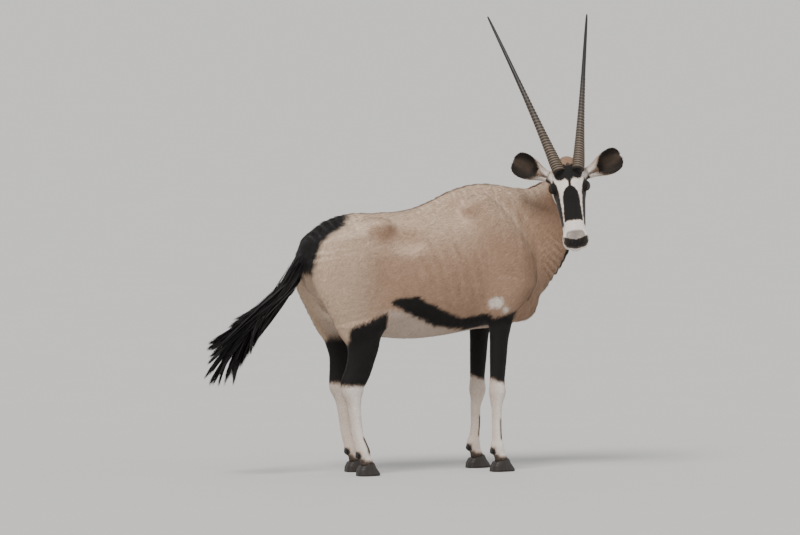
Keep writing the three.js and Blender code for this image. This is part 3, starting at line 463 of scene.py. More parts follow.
def mouth_height(h):
    """The height of the mouth's line beside each point, and the point's turn round the muzzle."""
    turn = np.abs(np.degrees(np.arctan2(h[:, 1], h[:, 0] - 196)))
    return reading(MOUTH_RISE, turn), turn


def lens(e):
    """1 on the edge of the lids' opening, less inside it."""
    high = np.abs(e[:, 1]) / LID_HEIGHT
    return np.sqrt((e[:, 0] / LID_LENGTH) ** 2 + high ** 1.7)


def face_form(p):
    """The skin of the face, with the mouth, lips, nostrils and lids worked into it."""
    value = body_form(p) + coat_depth(p)
    h = in_head(p)
    rise, turn = mouth_height(h)
    groove = ridge(h[:, 2] - rise, 2.4) * ramp(-turn, -122, -100) * ramp(h[:, 0], 150, 175)
    lip = ridge(np.abs(h[:, 2] - rise) - 7, 4.5) * ramp(-turn, -115, -80) * ramp(h[:, 0], 160, 190)
    value = value + MOUTH_DEEP * groove - LIP_SWELL * lip
    for sign in SIDES:
        d, share = polyline_distance(h, [side_of(q, sign) for q in NOSTRIL])
        width = 3.2 + 2.6 * np.sin(np.pi * np.clip(share, 0.05, 0.95))
        value = value + NOSTRIL_DEEP * ridge(d, width) - NOSTRIL_RIM * ridge(d - 10, 4)
        centre, axes = EYES[sign]
        e = (p - centre) @ axes.T
        near = (np.linalg.norm(e, axis=1) < FACE_REACH) & (e[:, 2] > 0)
        q = lens(e)
        rim = LID_RIM * ridge(q - 1.17, 0.13) - LID_CREASE * ridge(q - 1.75, 0.16)
        upper = LID_FOLD * ridge(q - 1.45, 0.14) * ramp(-e[:, 1] * sign, -2, 4)
        inside = ramp(-q, -1.04, -0.93)
        ball = np.linalg.norm(e, axis=1) - (EYE_RADIUS - 2.5)
        lidded = value - rim - upper
        value = np.where(near, lidded * (1 - inside) + np.maximum(lidded, ball) * inside, value)
    return value


SLOPE_STEP = 0.6


def settled(field, points, reach, turns=2):
    """Points moved on to the field's surface, by at most `reach` in each turn."""
    p = np.asarray(points, np.float32)
    steps = np.eye(3, dtype=np.float32)
    for _ in range(turns):
        value = field(p)
        slope = np.stack([field(p + steps[i] * SLOPE_STEP) - value for i in range(3)], 1) / SLOPE_STEP
        steep = np.maximum((slope ** 2).sum(1), 0.2)
        p = p - slope * np.clip(value / steep, -reach, reach)[:, None]
    return p.astype(np.float32)


# The skin: one net over the whole body, finer on the face.
SKIN_CELL, NET_GROUP, NET_BATCHES = 7.0, 4, 40
SKIN_LOW, SKIN_HIGH = np.array([-846.0, -430.0, -8.0]), np.array([722.0, 256.0, 1430.0])


def spread(values, group):
    """Each value of a coarse grid repeated over the fine cells that it stands for."""
    for axis in range(3):
        values = np.repeat(values, group, axis)
    return values


def fine_values(low, high, cell):
    """The skin's form on a fine grid, worked out only near the surface."""
    coarse = cell * NET_GROUP
    count = np.ceil((high - low) / coarse).astype(int) + 1
    places = np.stack(np.meshgrid(*[np.arange(n) for n in count], indexing="ij"), -1).reshape(-1, 3)
    rough = skin_form((low + places * coarse).astype(np.float32)).reshape(count)
    shape = (count - 1) * NET_GROUP + 1
    full = np.full(shape, OUTSIDE, np.float32)
    full[:-1, :-1, :-1] = spread(rough[:-1, :-1, :-1], NET_GROUP)
    near = np.abs(rough) < coarse * 1.25
    live = np.zeros(count - 1, bool)
    for i in range(8):
        a, b, c = i & 1, (i >> 1) & 1, i >> 2
        live |= near[a:count[0] - 1 + a, b:count[1] - 1 + b, c:count[2] - 1 + c]
    mask = np.zeros(shape, bool)
    mask[:-1, :-1, :-1] = spread(live, NET_GROUP)
    for axis in range(3):
        mask |= np.roll(mask, 1, axis)
    batches = np.array_split(np.argwhere(mask), NET_BATCHES)
    full[mask] = np.concatenate([skin_form((low + part * cell).astype(np.float32)) for part in batches])
    return full


def net_over(values, low, cell):
    """Corners and four-sided facets over the grid's zero surface."""
    inside = values < 0
    n = np.array(values.shape) - 1
    corner = [np.array([i & 1, (i >> 1) & 1, i >> 2]) for i in range(8)]
    block = [inside[c[0]:n[0] + c[0], c[1]:n[1] + c[1], c[2]:n[2] + c[2]] for c in corner]
    total = sum(b.astype(np.int8) for b in block)
    live = (total > 0) & (total < 8)
    number = np.full(live.shape, -1)
    cells = np.argwhere(live)
    number[live] = np.arange(len(cells))
    place = np.zeros((len(cells), 3))
    crossings = np.zeros(len(cells))
    for a in range(8):
        for axis in range(3):
            if a & (1 << axis):
                continue
            b = a | (1 << axis)
            va = values[tuple((cells + corner[a]).T)]
            vb = values[tuple((cells + corner[b]).T)]
            cross = (va < 0) != (vb < 0)
            t = np.where(cross, va / np.where(cross, va - vb, 1), 0)
            spot = corner[a] + (corner[b] - corner[a]) * t[:, None]
            place += spot * cross[:, None]
            crossings += cross
    points = low + (cells + place / crossings[:, None]) * cell
    quads = []
    step = np.eye(3, dtype=int)
    here = inside[1:-1, 1:-1, 1:-1]
    for axis in range(3):
        s = [slice(1, -1)] * 3
        s[axis] = slice(2, None)
        there = inside[tuple(s)]
        edges = np.argwhere(here != there) + 1
        u, v = step[(axis + 1) % 3], step[(axis + 2) % 3]
        quad = np.stack([number[tuple((edges - k).T)] for k in (0 * u, u, u + v, v)], 1)
        filled = inside[tuple(edges.T)]
        quad[~filled] = quad[~filled][:, ::-1]
        quads.append(quad)
    quads = np.concatenate(quads)
    return points, quads[(quads >= 0).all(1)]


EASE_BACK = 1.04


def relaxed(points, edges, turns, strength=0.5):
    """Corners eased towards their neighbours and back, which takes out small creases."""
    count = np.bincount(edges.ravel(), minlength=len(points)).astype(float)[:, None]
    for _ in range(turns):
        for pull in (strength, -strength * EASE_BACK):
            mean = np.zeros_like(points, dtype=float)
            for a, b in ((0, 1), (1, 0)):
                for axis in range(3):
                    mean[:, axis] += np.bincount(edges[:, a], points[edges[:, b], axis], len(points))
            points = points + pull * (mean / np.maximum(count, 1) - points)
    return points


def mesh_arrays(mesh):
    co = np.empty(len(mesh.vertices) * 3, np.float32)
    mesh.vertices.foreach_get("co", co)
    edges = np.empty(len(mesh.edges) * 2, np.int32)
    mesh.edges.foreach_get("vertices", edges)
    return co.reshape(-1, 3), edges.reshape(-1, 2)


def set_points(mesh, points):
    mesh.vertices.foreach_set("co", np.asarray(points, np.float32).ravel())
    mesh.update()


def mesh_from(name, points, faces):
    mesh = bpy.data.meshes.new(name)
    mesh.from_pydata([tuple(p) for p in np.asarray(points, float)], [], [tuple(f) for f in faces])
    mesh.update()
    return mesh


def subdivided(mesh, chosen):
    """Each edge with both ends chosen is cut in two."""
    bm = bmesh.new()
    bm.from_mesh(mesh)
    bm.verts.ensure_lookup_table()
    edges = [e for e in bm.edges if chosen[e.verts[0].index] and chosen[e.verts[1].index]]
    bmesh.ops.subdivide_edges(bm, edges=edges, cuts=1, use_grid_fill=True)
    bm.to_mesh(mesh)
    bm.free()
    mesh.update()


# Along the head: where the finer net starts, and where it is finest.
FACE_START, MUZZLE_START = -118, -50
# The net stays as it falls below this height, where the skin meets the hooves.
EASED_ABOVE = 75


def face_area(p, start):
    """Which corners of the net belong to the face, from `start` along the head."""
    h = in_head(p)
    ahead = (h[:, 0] > start) & (h[:, 0] < 300)
    return ahead & (np.abs(h[:, 1]) < 100) & (np.abs(h[:, 2]) < 120)


def skin_mesh():
    """The skin as a mesh, still in the animal's millimetres."""
    points, quads = net_over(fine_values(SKIN_LOW, SKIN_HIGH, SKIN_CELL), SKIN_LOW, SKIN_CELL)
    mesh = mesh_from("skin", points, quads)
    points, edges = mesh_arrays(mesh)
    lifted = points[:, 2] > EASED_ABOVE
    eased = relaxed(settled(skin_form, points, 3.0, 1), edges, 5)
    points = np.where(lifted[:, None], eased, points)
    set_points(mesh, points)
    for start in (FACE_START, MUZZLE_START):
        subdivided(mesh, face_area(points, start))
        points, edges = mesh_arrays(mesh)
    face = face_area(points, FACE_START)
    fine = points.copy()
    fine[face] = settled(face_form, points[face], 2.5, 3)
    smooth = relaxed(fine, edges, 1, 0.4)
    keep = ramp(in_head(points)[:, 0], FACE_START, FACE_START + 18)[:, None] * face[:, None]
    set_points(mesh, points * (1 - keep) + smooth * keep)
    return mesh


# The ears: thin cups that open forward, sunk in their stubs.
# Share of the length, half width, depth, and how far round the cup reaches to each side in degrees.
EAR_STAGES = [
    (0.10, 24, 24, 170), (0.22, 27, 26, 158), (0.35, 35, 30, 134), (0.47, 44, 32, 108),
    (0.59, 50, 30, 96), (0.72, 53, 26, 90), (0.84, 51, 20, 84), (0.93, 43, 13, 78),
    (0.985, 28, 8, 72), (1.0, 14, 5, 66),
]
EAR_ROWS, EAR_ACROSS = 46, 40
# How deep the middle of the cup lies behind the ear's axis, as a share of its depth.
EAR_HOLLOW = 0.35


def ear_axes(sign):
    """The foot of an ear, and the ways along it, across it and out of its cup."""
    lie = unit(EAR_LIE[sign] @ HEAD)
    opening = side_of(EAR_OPEN, sign) @ HEAD
    facing = unit(opening - lie * (opening @ lie))
    return from_head(side_of(EAR_FOOT, sign)), np.array([lie, np.cross(facing, lie), facing])


def ear_sheet(sign):
    """Corners, facets and, for each corner, its place along, across and on which face."""
    origin, axes = ear_axes(sign)
    fine = smooth_line(EAR_STAGES, 6)
    share = np.linspace(0, 1, EAR_ROWS) ** 0.85
    key = (fine[:, 0] - fine[0, 0]) / (fine[-1, 0] - fine[0, 0])
    rows = np.stack([np.interp(share, key, fine[:, c]) for c in range(4)], 1)
    points, marks = [], []
    for face, inset in ((0, 0.0), (1, EAR_THICKNESS)):
        for t, width, depth, rim in rows:
            for i in range(EAR_ACROSS + 1):
                across = 2 * i / EAR_ACROSS - 1
                turn = math.radians(rim) * across
                thin = inset * (1 - 0.55 * abs(across) ** 4)
                wide = (width - thin) * math.sin(turn)
                deep = (depth - thin) * (EAR_HOLLOW - math.cos(turn))
                points.append(origin + np.array([EAR_LENGTH * t, wide, deep]) @ axes)
                marks.append((t, across, face))
    columns, back = EAR_ACROSS + 1, EAR_ROWS * (EAR_ACROSS + 1)
    faces = []
    for r in range(EAR_ROWS - 1):
        for c in range(EAR_ACROSS):
            a = r * columns + c
            faces.append((a, a + 1, a + columns + 1, a + columns))
            faces.append((a + back, a + columns + back, a + columns + 1 + back, a + 1 + back))
        a, b = r * columns, r * columns + columns - 1
        faces.append((a, a + columns, a + columns + back, a + back))
        faces.append((b, b + back, b + columns + back, b + columns))
    for c in range(EAR_ACROSS):
        faces.append((c, c + back, c + 1 + back, c + 1))
        top = (EAR_ROWS - 1) * columns + c
        faces.append((top, top + 1, top + 1 + back, top + back))
    return np.array(points), faces, np.array(marks)


# Coat marks, with painted light and shade in the white, pale and brown masks. Each is a mask from 0 to 1 of
# black, white, pale or brown.
# The stripe along the flank: place, height and half width. The rump's patch: height and front edge, and
# place and half width.
FLANK = [(-236, 737, 10), (-190, 733, 26), (-130, 720, 40), (-15, 668, 37), (96, 640, 26), (215, 655, 26)]
RUMP_EDGE = [
    (800, -620), (840, -584), (900, -552), (950, -522), (1000, -474), (1050, -424), (1110, -366),
]
RUMP_WIDTH = [(-560, 124), (-480, 120), (-410, 92), (-350, 50)]
# Where the legs stand along the body, and from what height to what height their upper parts are black.
FORE_LINE, HIND_LINE = 265, -364
FORE_BLACK, HIND_BLACK = (388, 674), (386, 662)
GASKIN_BACK = [(480, -480), (560, -434)]
SHIN_MARK = {"fore": (138, 226), "hind": (96, 166)}
# The white spots at the elbow, partly the hair's own white and partly painted highlight: place, height and
# the two radii.
ELBOW_WHITE_AND_HIGHLIGHT = [(243, 727, 34, 23), (285, 697, 17, 15)]
# On the face, at each place along the head: half widths of the patch, of the blaze and between the cheek
# stripes, and how far down a cheek stripe reaches.
FACE_PATCH = [(-92, 34), (-74, 48), (-60, 60), (-46, 60), (-34, 38), (-23, 21), (-12, 7), (14, 5)]
BLAZE = [(10, 6), (18, 19), (29, 28), (48, 35), (90, 37), (156, 40)]
CHEEK_INNER = [(-20, 64), (0, 54), (30, 49), (75, 45.5), (130, 43), (168, 42)]
CHEEK_DEPTH = [(-40, 15), (0, 24), (60, 24), (120, 21), (180, 13)]


def wobble(p, size, seed):
    """A slow uneven shift, about -1 to 1, that breaks up straight edges."""
    x, y, z = (p / size + seed).T
    waves = np.sin(x * 2.1 + 1.3 * np.sin(z * 1.7)) + np.sin(z * 2.7 + 1.1 * np.sin(y * 2.3))
    return (waves + np.sin(y * 3.1 + x)) / 3


def stripe_depth(x, z, line):
    """How far a point in the side view is inside a stripe of changing half width."""
    line = np.asarray(line, float)
    p = np.stack([x, z], 1)
    best = np.full(len(x), -FAR_OFF)
    for a, b in zip(line[:-1], line[1:]):
        way = b[:2] - a[:2]
        t = np.clip(((p - a[:2]) @ way) / (way @ way), 0, 1)
        d = np.linalg.norm(p - a[:2] - t[:, None] * way, axis=1)
        best = np.maximum(best, a[2] + (b[2] - a[2]) * t - d)
    return best


def trunk_marks(p, n, edge):
    """The black rump and flank stripe, the belly's white held low as painted shade, the pale mask of painted
    light on the top and a paler rear, and the brown line along the back.
    """
    x, y, z = p.T
    aside = np.abs(y)
    rump = reading(RUMP_EDGE, z) - x
    black = ramp(rump + 2 * edge, -16, 18) * ramp(reading(RUMP_WIDTH, x) - aside + 2 * edge, -16, 20)
    black = black * ramp(z - 0.3 * (x + 600), 822, 866)
    dock = ramp(-x, 596, 606) * ramp(z, 500, 520)
    stripe = ramp(stripe_depth(x, z, FLANK) + edge, -5, 8) * ramp(aside, 45, 75)
    black = np.maximum(np.maximum(black, dock), stripe)
    below = ramp(reading([row[:2] for row in FLANK], x) - 20 - z, 0, 25)
    belly = below * ramp(x, -330, -230) * ramp(-x, -300, -230)
    groin = ramp(-z, -740, -640) * ramp(-aside, -100, -60) * ramp(-x, 120, 220)
    # The belly and groin keep only about a third of their white: painted shade on the underside.
    white = np.maximum(0.34 * belly, 0.3 * groin)
    back = ramp(n[:, 2], 0.45, 0.75) * ramp(-x, -340, -250) * ramp(z, 900, 950)
    brown = 0.8 * ramp(13 - aside + 0.6 * edge, -5, 6) * back
    # Pale: painted light on faces that turn upwards, and a paler rear.
    pale = np.clip(0.65 * ramp(n[:, 2], 0.1, 0.75) + 0.5 * ramp(-x, 250, 430), 0, 0.9)
    return black, white, pale, brown


def leg_marks(p, n, edge):
    """The black upper parts of the legs, their white lower parts with painted shade on the inner and rear
    faces, and the brown on them: painted shade inside the thighs, and brown on the backs of the hind shins.
    """
    x, y, z = p.T
    aside = np.abs(y)
    fore = ramp(x, 100, 130)
    rear = 1 - fore
    ahead = x - FORE_LINE
    low, high = FORE_BLACK
    arm = fore * ramp(high + 0.25 * ahead - z + edge, -6, 10) * ramp(z - low + 0.35 * ahead + edge, -7, 9)
    arm = arm * ramp(aside, 50, 66) * ramp(-x, -362, -346)
    white_fore = fore * ramp(low - 0.35 * ahead - z + edge, -9, 7)
    low, high = HIND_BLACK
    gaskin = ramp(-x, 254, 270) * ramp(high + 0.37 * (x - HIND_LINE) - z + edge, -8, 12)
    gaskin *= ramp(z - low + edge, -8, 10)
    gaskin *= ramp(x - reading(GASKIN_BACK, z) + 1.5 * edge, -10, 12)
    gaskin *= np.maximum(ramp(aside, 92, 112), ramp(-z, -610, -560))
    white_hind = rear * ramp(low - z + edge, -10, 8)
    lower = np.maximum(white_fore, white_hind)
    # Less white on the inner and rear faces of the lower legs: painted shade over their own off-white.
    outer = ramp(n[:, 0] + 0.6 * n[:, 1] * np.sign(y), -0.3, 0.8)
    white = lower * (0.46 + 0.38 * outer + 0.07 * wobble(p, 36, 9))
    # Brown inside the thighs above the black: painted shade.
    inner_thigh_shade = 0.35 * ramp(-x, 300, 340) * ramp(-z, -700, -600) * (z > 380) * ramp(-aside, -112, -92)
    # Brown on the rear faces of the white hind shins, above the fetlock.
    hind_shin_back_brown = 0.3 * lower * rear * ramp(-n[:, 0], 0.1, 0.8) * ramp(z, 120, 200)
    return np.maximum(arm, gaskin), white, np.maximum(inner_thigh_shade, hind_shin_back_brown)


def foot_marks(p, n, edge):
    """The dark shin, pastern, heel and dewclaws of every leg."""
    x, y, z = p.T
    black = np.zeros(len(p))
    front = ramp(n[:, 0], 0.25, 0.6)
    pastern = ramp(-z + 0.5 * edge, -74, -58) * 0.9
    heel = ramp(-n[:, 0], 0.2, 0.6) * ramp(-z, -112, -96) * 0.8
    for end, _, sign, foot, rows in FEET:
        own = (np.abs(x - foot) < 150) & (y * sign > 20)
        centre = reading([(row[2], row[0]) for row in rows[::-1]], z)
        low, high = SHIN_MARK[end]
        shin = front * ramp(z, low - 8, low + 6) * ramp(-z, -high - 6, -high + 8) * (x > centre)
        behind = np.hypot(x - rows[FETLOCK_ROW][0] + 27, (z - DEWCLAW_HEIGHT) * 0.8)
        dewclaw = ramp(-np.hypot(behind, (np.abs(y) - LEG_SPREAD) * 0.4), -17, -12)
        marks = np.maximum(np.maximum(shin, heel), np.maximum(pastern, dewclaw))
        black = np.where(own, np.maximum(black, marks), black)
    return black


def body_marks(p, n):
    """The masks of the trunk, legs and feet, at points with their normals."""
    x, y, z = p.T
    edge = wobble(p, 16, 0) * 3.5 + wobble(p, 5, 3) * 2
    black, white, pale, brown = trunk_marks(p, n, edge)
    leg_black, leg_white, leg_brown = leg_marks(p, n, edge)
    black = np.maximum(np.maximum(black, leg_black), foot_marks(p, n, edge))
    white, brown = np.maximum(white, leg_white), np.maximum(brown, leg_brown)
    # The white at the elbow is partly the hair's own white and partly painted highlight.
    spots = [ramp(1 - np.hypot((x - place) / length, (z - height) / depth) + edge * 0.03, -0.2, 0.35)
             for place, height, length, depth in ELBOW_WHITE_AND_HIGHLIGHT]
    spot = np.maximum(*spots) * ramp(np.abs(y), 95, 110)
    white = np.maximum(white, 0.72 * spot)
    black = black * (1 - spot)
    return np.stack([black, white * (1 - black), pale, brown], 1)


def neck_marks(p, base):
    """The body's marks with the dark line of the throat, the brown crest and painted shade that browns the
    neck towards the head added.
    """
    found, _ = NECK_TUBE.local(p)
    share, depth, side = found.T
    edge = wobble(p, 14, 5) * 3
    under = -depth * NECK_DEPTH_UP
    throat = ramp(14 - np.abs(side + 15) + 0.5 * edge, -4, 6) * ramp(under, 20, 45)
    throat = throat * ramp(share, 0.08, 0.18)
    crest = ramp(14 - np.abs(side) + edge, -5, 6) * ramp(-under, 30, 50)
    base[:, 0] = np.maximum(base[:, 0], throat)
    # The crest's brown line, and painted shade that browns the neck towards the head.
    base[:, 3] = np.maximum(base[:, 3], np.maximum(0.7 * crest, 0.16 * ramp(share, 0.35, 0.8)))
    return base


# 1 where the neck's depth is measured upwards, and -1 where it is measured down.
NECK_DEPTH_UP = 1 if NECK_TUBE.depth[len(NECK_TUBE.depth) // 2][2] > 0 else -1


def on_lip(h, edge):
    """The dark crescent under the nose pad, whose ends rise to the nostrils: the lip's dark skin, with
    painted shade of the mouth and nostrils in it.
    """
    aside = np.abs(h[:, 1])
    rise, _ = mouth_height(h)
    top = 237.5 - 12 * np.minimum(aside / 40, 1.2) ** 2
    return ramp(h[:, 0] - top + edge, -3, 3) * ramp(h[:, 2] - rise, 3, 8) * ramp(50 - aside, -4, 4)


def horn_away(h):
    """Minus the distance from the nearer horn's axis, by its foot."""
    away = np.full(len(h), -OUTSIDE)
    for sign in SIDES:
        q = h - horn_root(sign)
        on = np.clip(q @ HORN_LIE[sign], -20, 60)
        away = np.maximum(away, -np.linalg.norm(q - on[:, None] * HORN_LIE[sign], axis=1))
    return away


def cheek_marks(x, z, aside, edge):
    """The dark stripe that runs from each eye down the cheek."""
    inner = reading(CHEEK_INNER, x)
    low = 17 - 52 * x / 190 - reading(CHEEK_DEPTH, x)
    stripe = ramp(aside - inner + edge, -3, 3) * ramp(z - low + edge, -4, 4)
    return stripe * ramp(x, -32, -20) * ramp(172 - x, -6, 8)


def head_marks(h, n):
    """The masks of the head, at points and normals in its own axes."""
    x, y, z = h.T
    aside = np.abs(y)
    edge = wobble(h, 7, 2) * 1.6 + wobble(h, 3, 8) * 0.8
    patch = ramp(reading(FACE_PATCH, x) - aside + edge, -2.5, 3.5) * ramp(n[:, 2], 0, 0.3)
    patch = patch * ramp(x, -88, -80) * ramp(22 - x, -3, 3)
    bounds = ramp(x, 8, 12) * ramp(156 - x + edge, -3, 4) * ramp(n[:, 2], -0.15, 0.15)
    blaze = ramp(reading(BLAZE, x) - aside + edge, -2.5, 3.5) * bounds
    cheek = cheek_marks(x, z, aside, edge)
    back_of_jaw = x + 34 + 0.45 * (z + 20)
    jaw = ramp(13 - np.abs(back_of_jaw) + edge, -4, 5) * ramp(-z, -8, 4) * ramp(aside, 14, 30)
    throat = ramp(16 - aside + edge, -4, 4) * ramp(-n[:, 2], 0.3, 0.6) * ramp(-x, -60, -20)
    rise, _ = mouth_height(h)
    mouth = ramp(5 - np.abs(z - rise - 1) + 0.6 * edge, -2.5, 2.5) * ramp(x, 170, 185)
    round_horn = ramp(horn_away(h), -40, -31)
    poll = round_horn * ramp(x, -96, -84) * ramp(62 - aside, -5, 5)
    lip = on_lip(h, edge)
    black = np.maximum.reduce([patch, blaze, cheek, 0.9 * jaw, throat, 0.9 * mouth, 0.97 * lip, poll])
    # Behind the jaw the white face ends, and the brown there is painted shade on the neck under the head.
    behind = ramp(-back_of_jaw, 7, 20) * ramp(-z, -22, 0)
    # Brown on the faces under the jaw and muzzle: painted shade.
    under = ramp(-n[:, 2], 0.6, 0.9) * ramp(x, 60, 120) * ramp(-x, -250, -215)
    crown = ramp(-x, 62, 84)
    brown = np.maximum.reduce([0.5 * crown * ramp(z, 20, 40), 0.4 * behind, 0.25 * under, 0.45 * round_horn])
    white = (1 - behind) * (1 - crown * ramp(z, 10, 30)) * (1 - round_horn)
    return np.stack([black, 0.96 * white * (1 - black), 0 * x, brown * (1 - black)], 1)


def bare_skin(h, p):
    """Where the skin shows no hair: the nose pad, the nostrils, the lips and the rims of the lids."""
    x, y, z = h.T
    rise, _ = mouth_height(h)
    pad = ramp(x, 193, 203) * ramp(42 - np.abs(y) - 0.014 * (x - 222) ** 2, -4, 5) * ramp(z - rise, 4, 10)
    lips = ramp(4 - np.abs(z - rise), -2, 2) * ramp(x, 178, 190)
    bare = np.maximum(pad, lips)
    for sign in SIDES:
        d, _ = polyline_distance(h, [side_of(q, sign) for q in NOSTRIL])
        bare = np.maximum(bare, ramp(-d, -9, -5))
        centre, axes = EYES[sign]
        e = (p - centre) @ axes.T
        close = (np.linalg.norm(e, axis=1) < 34) & (e[:, 2] > 0)
        bare = np.where(close, np.maximum(bare, ramp(-lens(e), -1.36, -1.2)), bare)
    return bare


def ear_marks(marks):
    """The masks of the ears: black inside and at the tips, white at the foot."""
    t, across, face = marks.T
    rim = ramp(np.abs(across), 0.7, 0.92)
    inside = ramp(t, 0.26, 0.40) * (0.96 - 0.12 * ramp(-np.abs(across), -0.5, -0.1) * ramp(t, 0.45, 0.6))
    outside = np.maximum(ramp(t, 0.82, 0.93), rim * ramp(t, 0.5, 0.65))
    black = np.where(face > 0, inside * (1 - 0.5 * rim * ramp(-t, -0.6, -0.4)), outside)
    white = np.where(face > 0, 0.6 * ramp(-t, -0.42, -0.25), 0.55 * ramp(-t, -0.45, -0.2) + 0.2 * rim)
    brown = np.where(face > 0, 0.1, 0.22)
    return np.stack([black, white * (1 - black), 0 * t + 0.3, brown * (1 - black)], 1)


# Where the head ends against the neck: how far each plane lies from the head's place, and its way out.
HEAD_ENDS = [((107, 0, 56), (-0.741, 0, -0.672)), ((85, 0, 105), (-0.407, 0, -0.914))]


def head_share(p):
    """1 on the head and 0 on the neck and body."""
    h = in_head(p)
    behind = np.maximum(*[(h + away) @ np.array(way) for away, way in HEAD_ENDS])
    return ramp(-behind, -6, 10) * (h[:, 0] < 300) * ramp(-np.abs(h[:, 1]), -150, -135)


NECK_STARTS, NECK_ABOVE = 330, 640


def marks_of(p, n):
    """The masks of the whole animal: black, white, pale and brown."""
    base = body_marks(p, n)
    near_neck = (p[:, 0] > NECK_STARTS) & (p[:, 2] > NECK_ABOVE)
    base[near_neck] = neck_marks(p[near_neck], base[near_neck])
    share = head_share(p)[:, None]
    return base * (1 - share) + head_marks(in_head(p), n @ HEAD.T) * share


def lie_of(p, n):
    """The way the hair lies at each point: back along the body, down the legs and up the face."""
    x, z = p[:, 0], p[:, 2]
    way = np.tile(unit((-1.0, 0, -0.42)), (len(p), 1))
    belly = ramp(-n[:, 2], 0.3, 0.8)[:, None]
    way = way * (1 - belly) + np.array([-1, 0, -0.1]) * belly
    legs = ramp(-z, -760, -600)[:, None]
    way = way * (1 - legs) + np.array([-0.12, 0, -1.0]) * legs
    rear = (ramp(-x, 440, 560) * ramp(z, 560, 640))[:, None]
    way = way * (1 - rear) + np.array([-0.35, 0, -1.0]) * rear
    neck = (x > NECK_STARTS) & (z > NECK_ABOVE)
    if neck.any():
        _, along = NECK_TUBE.local(p[neck])
        share = ramp(x[neck], NECK_STARTS, NECK_STARTS + 100)[:, None]
        down = -along + np.array([0, 0, -0.35])
        way[neck] = way[neck] * (1 - share) + down * share
    head = head_share(p)[:, None]
    way = way * (1 - head) - HEAD[0] * head
    way = way - n * (way * n).sum(1)[:, None]
    return way / np.maximum(np.linalg.norm(way, axis=1), 1e-6)[:, None]


# Materials. Each effect that several of them use is one group.
def srgb(*values):
    """A colour given as the eye sees it, as the linear colour that the shaders take."""
    return tuple(((v + 0.055) / 1.055) ** 2.4 if v > 0.04045 else v / 12.92 for v in values) + (1.0,)


# PALE paints the paler hair and painted light on upward faces; BROWN paints brown hair and painted shade.
FAWN, SHADED_FAWN, PALE = srgb(0.69, 0.565, 0.47), srgb(0.56, 0.44, 0.36), srgb(0.83, 0.74, 0.65)
BLACK, WHITE, BROWN = srgb(0.075, 0.063, 0.06), srgb(0.91, 0.88, 0.85), srgb(0.38, 0.27, 0.20)
NOSE_DARK, NOSE_LIGHT = srgb(0.52, 0.50, 0.49), srgb(0.68, 0.655, 0.64)
# The horn's colour at its foot, half way and from SMOOTH_FROM on, by share of its length.
HORN_LOW, HORN_MIDDLE, HORN_TIP = srgb(0.18, 0.14, 0.11), srgb(0.165, 0.135, 0.115), srgb(0.075, 0.068, 0.065)
MIDDLE_AT, SMOOTH_FROM = 0.38, 0.66
# The painted highlight on the crests of the horn's rings, and the dark streaks.
RING_HIGHLIGHT, HORN_STREAK = srgb(0.64, 0.56, 0.46), srgb(0.09, 0.07, 0.06)
HOOF_DARK, HOOF_WORN = srgb(0.09, 0.08, 0.075), srgb(0.23, 0.20, 0.18)
IRIS_DARK, IRIS_LIGHT = srgb(0.13, 0.08, 0.05), srgb(0.24, 0.15, 0.09)
EYE_RIM, PUPIL = srgb(0.05, 0.04, 0.04), srgb(0.02, 0.02, 0.025)
FLOOR_DARK, FLOOR_LIGHT = srgb(0.74, 0.735, 0.725), srgb(0.76, 0.755, 0.745)
# Stretches of a noise texture along the hair, the horn and the hoof.
ALONG_HAIR, ALONG_HORN, HORN_GRAIN = (1.0, 1.0, 0.32), (1.0, 1.0, 0.12), (1.0, 1.0, 0.2)
DOWN_HOOF, ROUND_HOOF = (1.0, 1.0, 0.18), (0.3, 0.3, 4.0)


def new_group(name, sockets):
    group = bpy.data.node_groups.new(name, "ShaderNodeTree")
    for socket, kind, way, value in sockets:
        made = group.interface.new_socket(name=socket, in_out=way, socket_type=kind)
        if value is not None:
            made.default_value = value
    return group, group.nodes.new("NodeGroupInput"), group.nodes.new("NodeGroupOutput")


def add(tree, kind, **settings):
    """A node, with its sockets and its own settings given by name."""
    node = tree.nodes.new(kind)
    for key, value in settings.items():
        if key in node.inputs:
            node.inputs[key].default_value = value
        else:
            setattr(node, key, value)
    return node


def feed(tree, socket, value):
    """Links a socket to what feeds it, or sets it to a plain value."""
    if isinstance(value, bpy.types.NodeSocket):
        tree.links.new(value, socket)
    else:
        socket.default_value = value


def mixed(tree, factor, first, second, blend="MIX"):
    node = add(tree, "ShaderNodeMix", data_type="RGBA", blend_type=blend)
    for socket, value in ((node.inputs[0], factor), (node.inputs[6], first), (node.inputs[7], second)):
        feed(tree, socket, value)
    return node.outputs[2]


def maths(tree, operation, *values):
    node = add(tree, "ShaderNodeMath", operation=operation)
    for socket, value in zip(node.inputs, values):
        feed(tree, socket, value)
    return node.outputs[0]


def ranged(tree, source, low, high):
    """A mask from 0 to 1 spread between low and high."""
    node = add(tree, "ShaderNodeMapRange", **{"To Min": low, "To Max": high})
    tree.links.new(source, node.inputs[0])
    return node.outputs[0]


def channels(tree, name):
    """The first two masks of a point colour attribute."""
    read = add(tree, "ShaderNodeAttribute", attribute_name=name)
    split = add(tree, "ShaderNodeSeparateColor")
    tree.links.new(read.outputs["Color"], split.inputs[0])
    return split.outputs[0], split.outputs[1]


def noise(tree, scale, detail=3.0, stretch=None):
    """A noise texture over the object, drawn out along one of its axes where a stretch is given."""
    place = add(tree, "ShaderNodeTexCoord").outputs["Object"]
    if stretch:
        mapping = add(tree, "ShaderNodeMapping", Scale=stretch)
        tree.links.new(place, mapping.inputs[0])
        place = mapping.outputs[0]
    texture = add(tree, "ShaderNodeTexNoise", Scale=scale, Detail=detail)
    tree.links.new(place, texture.inputs["Vector"])
    return texture.outputs[0]


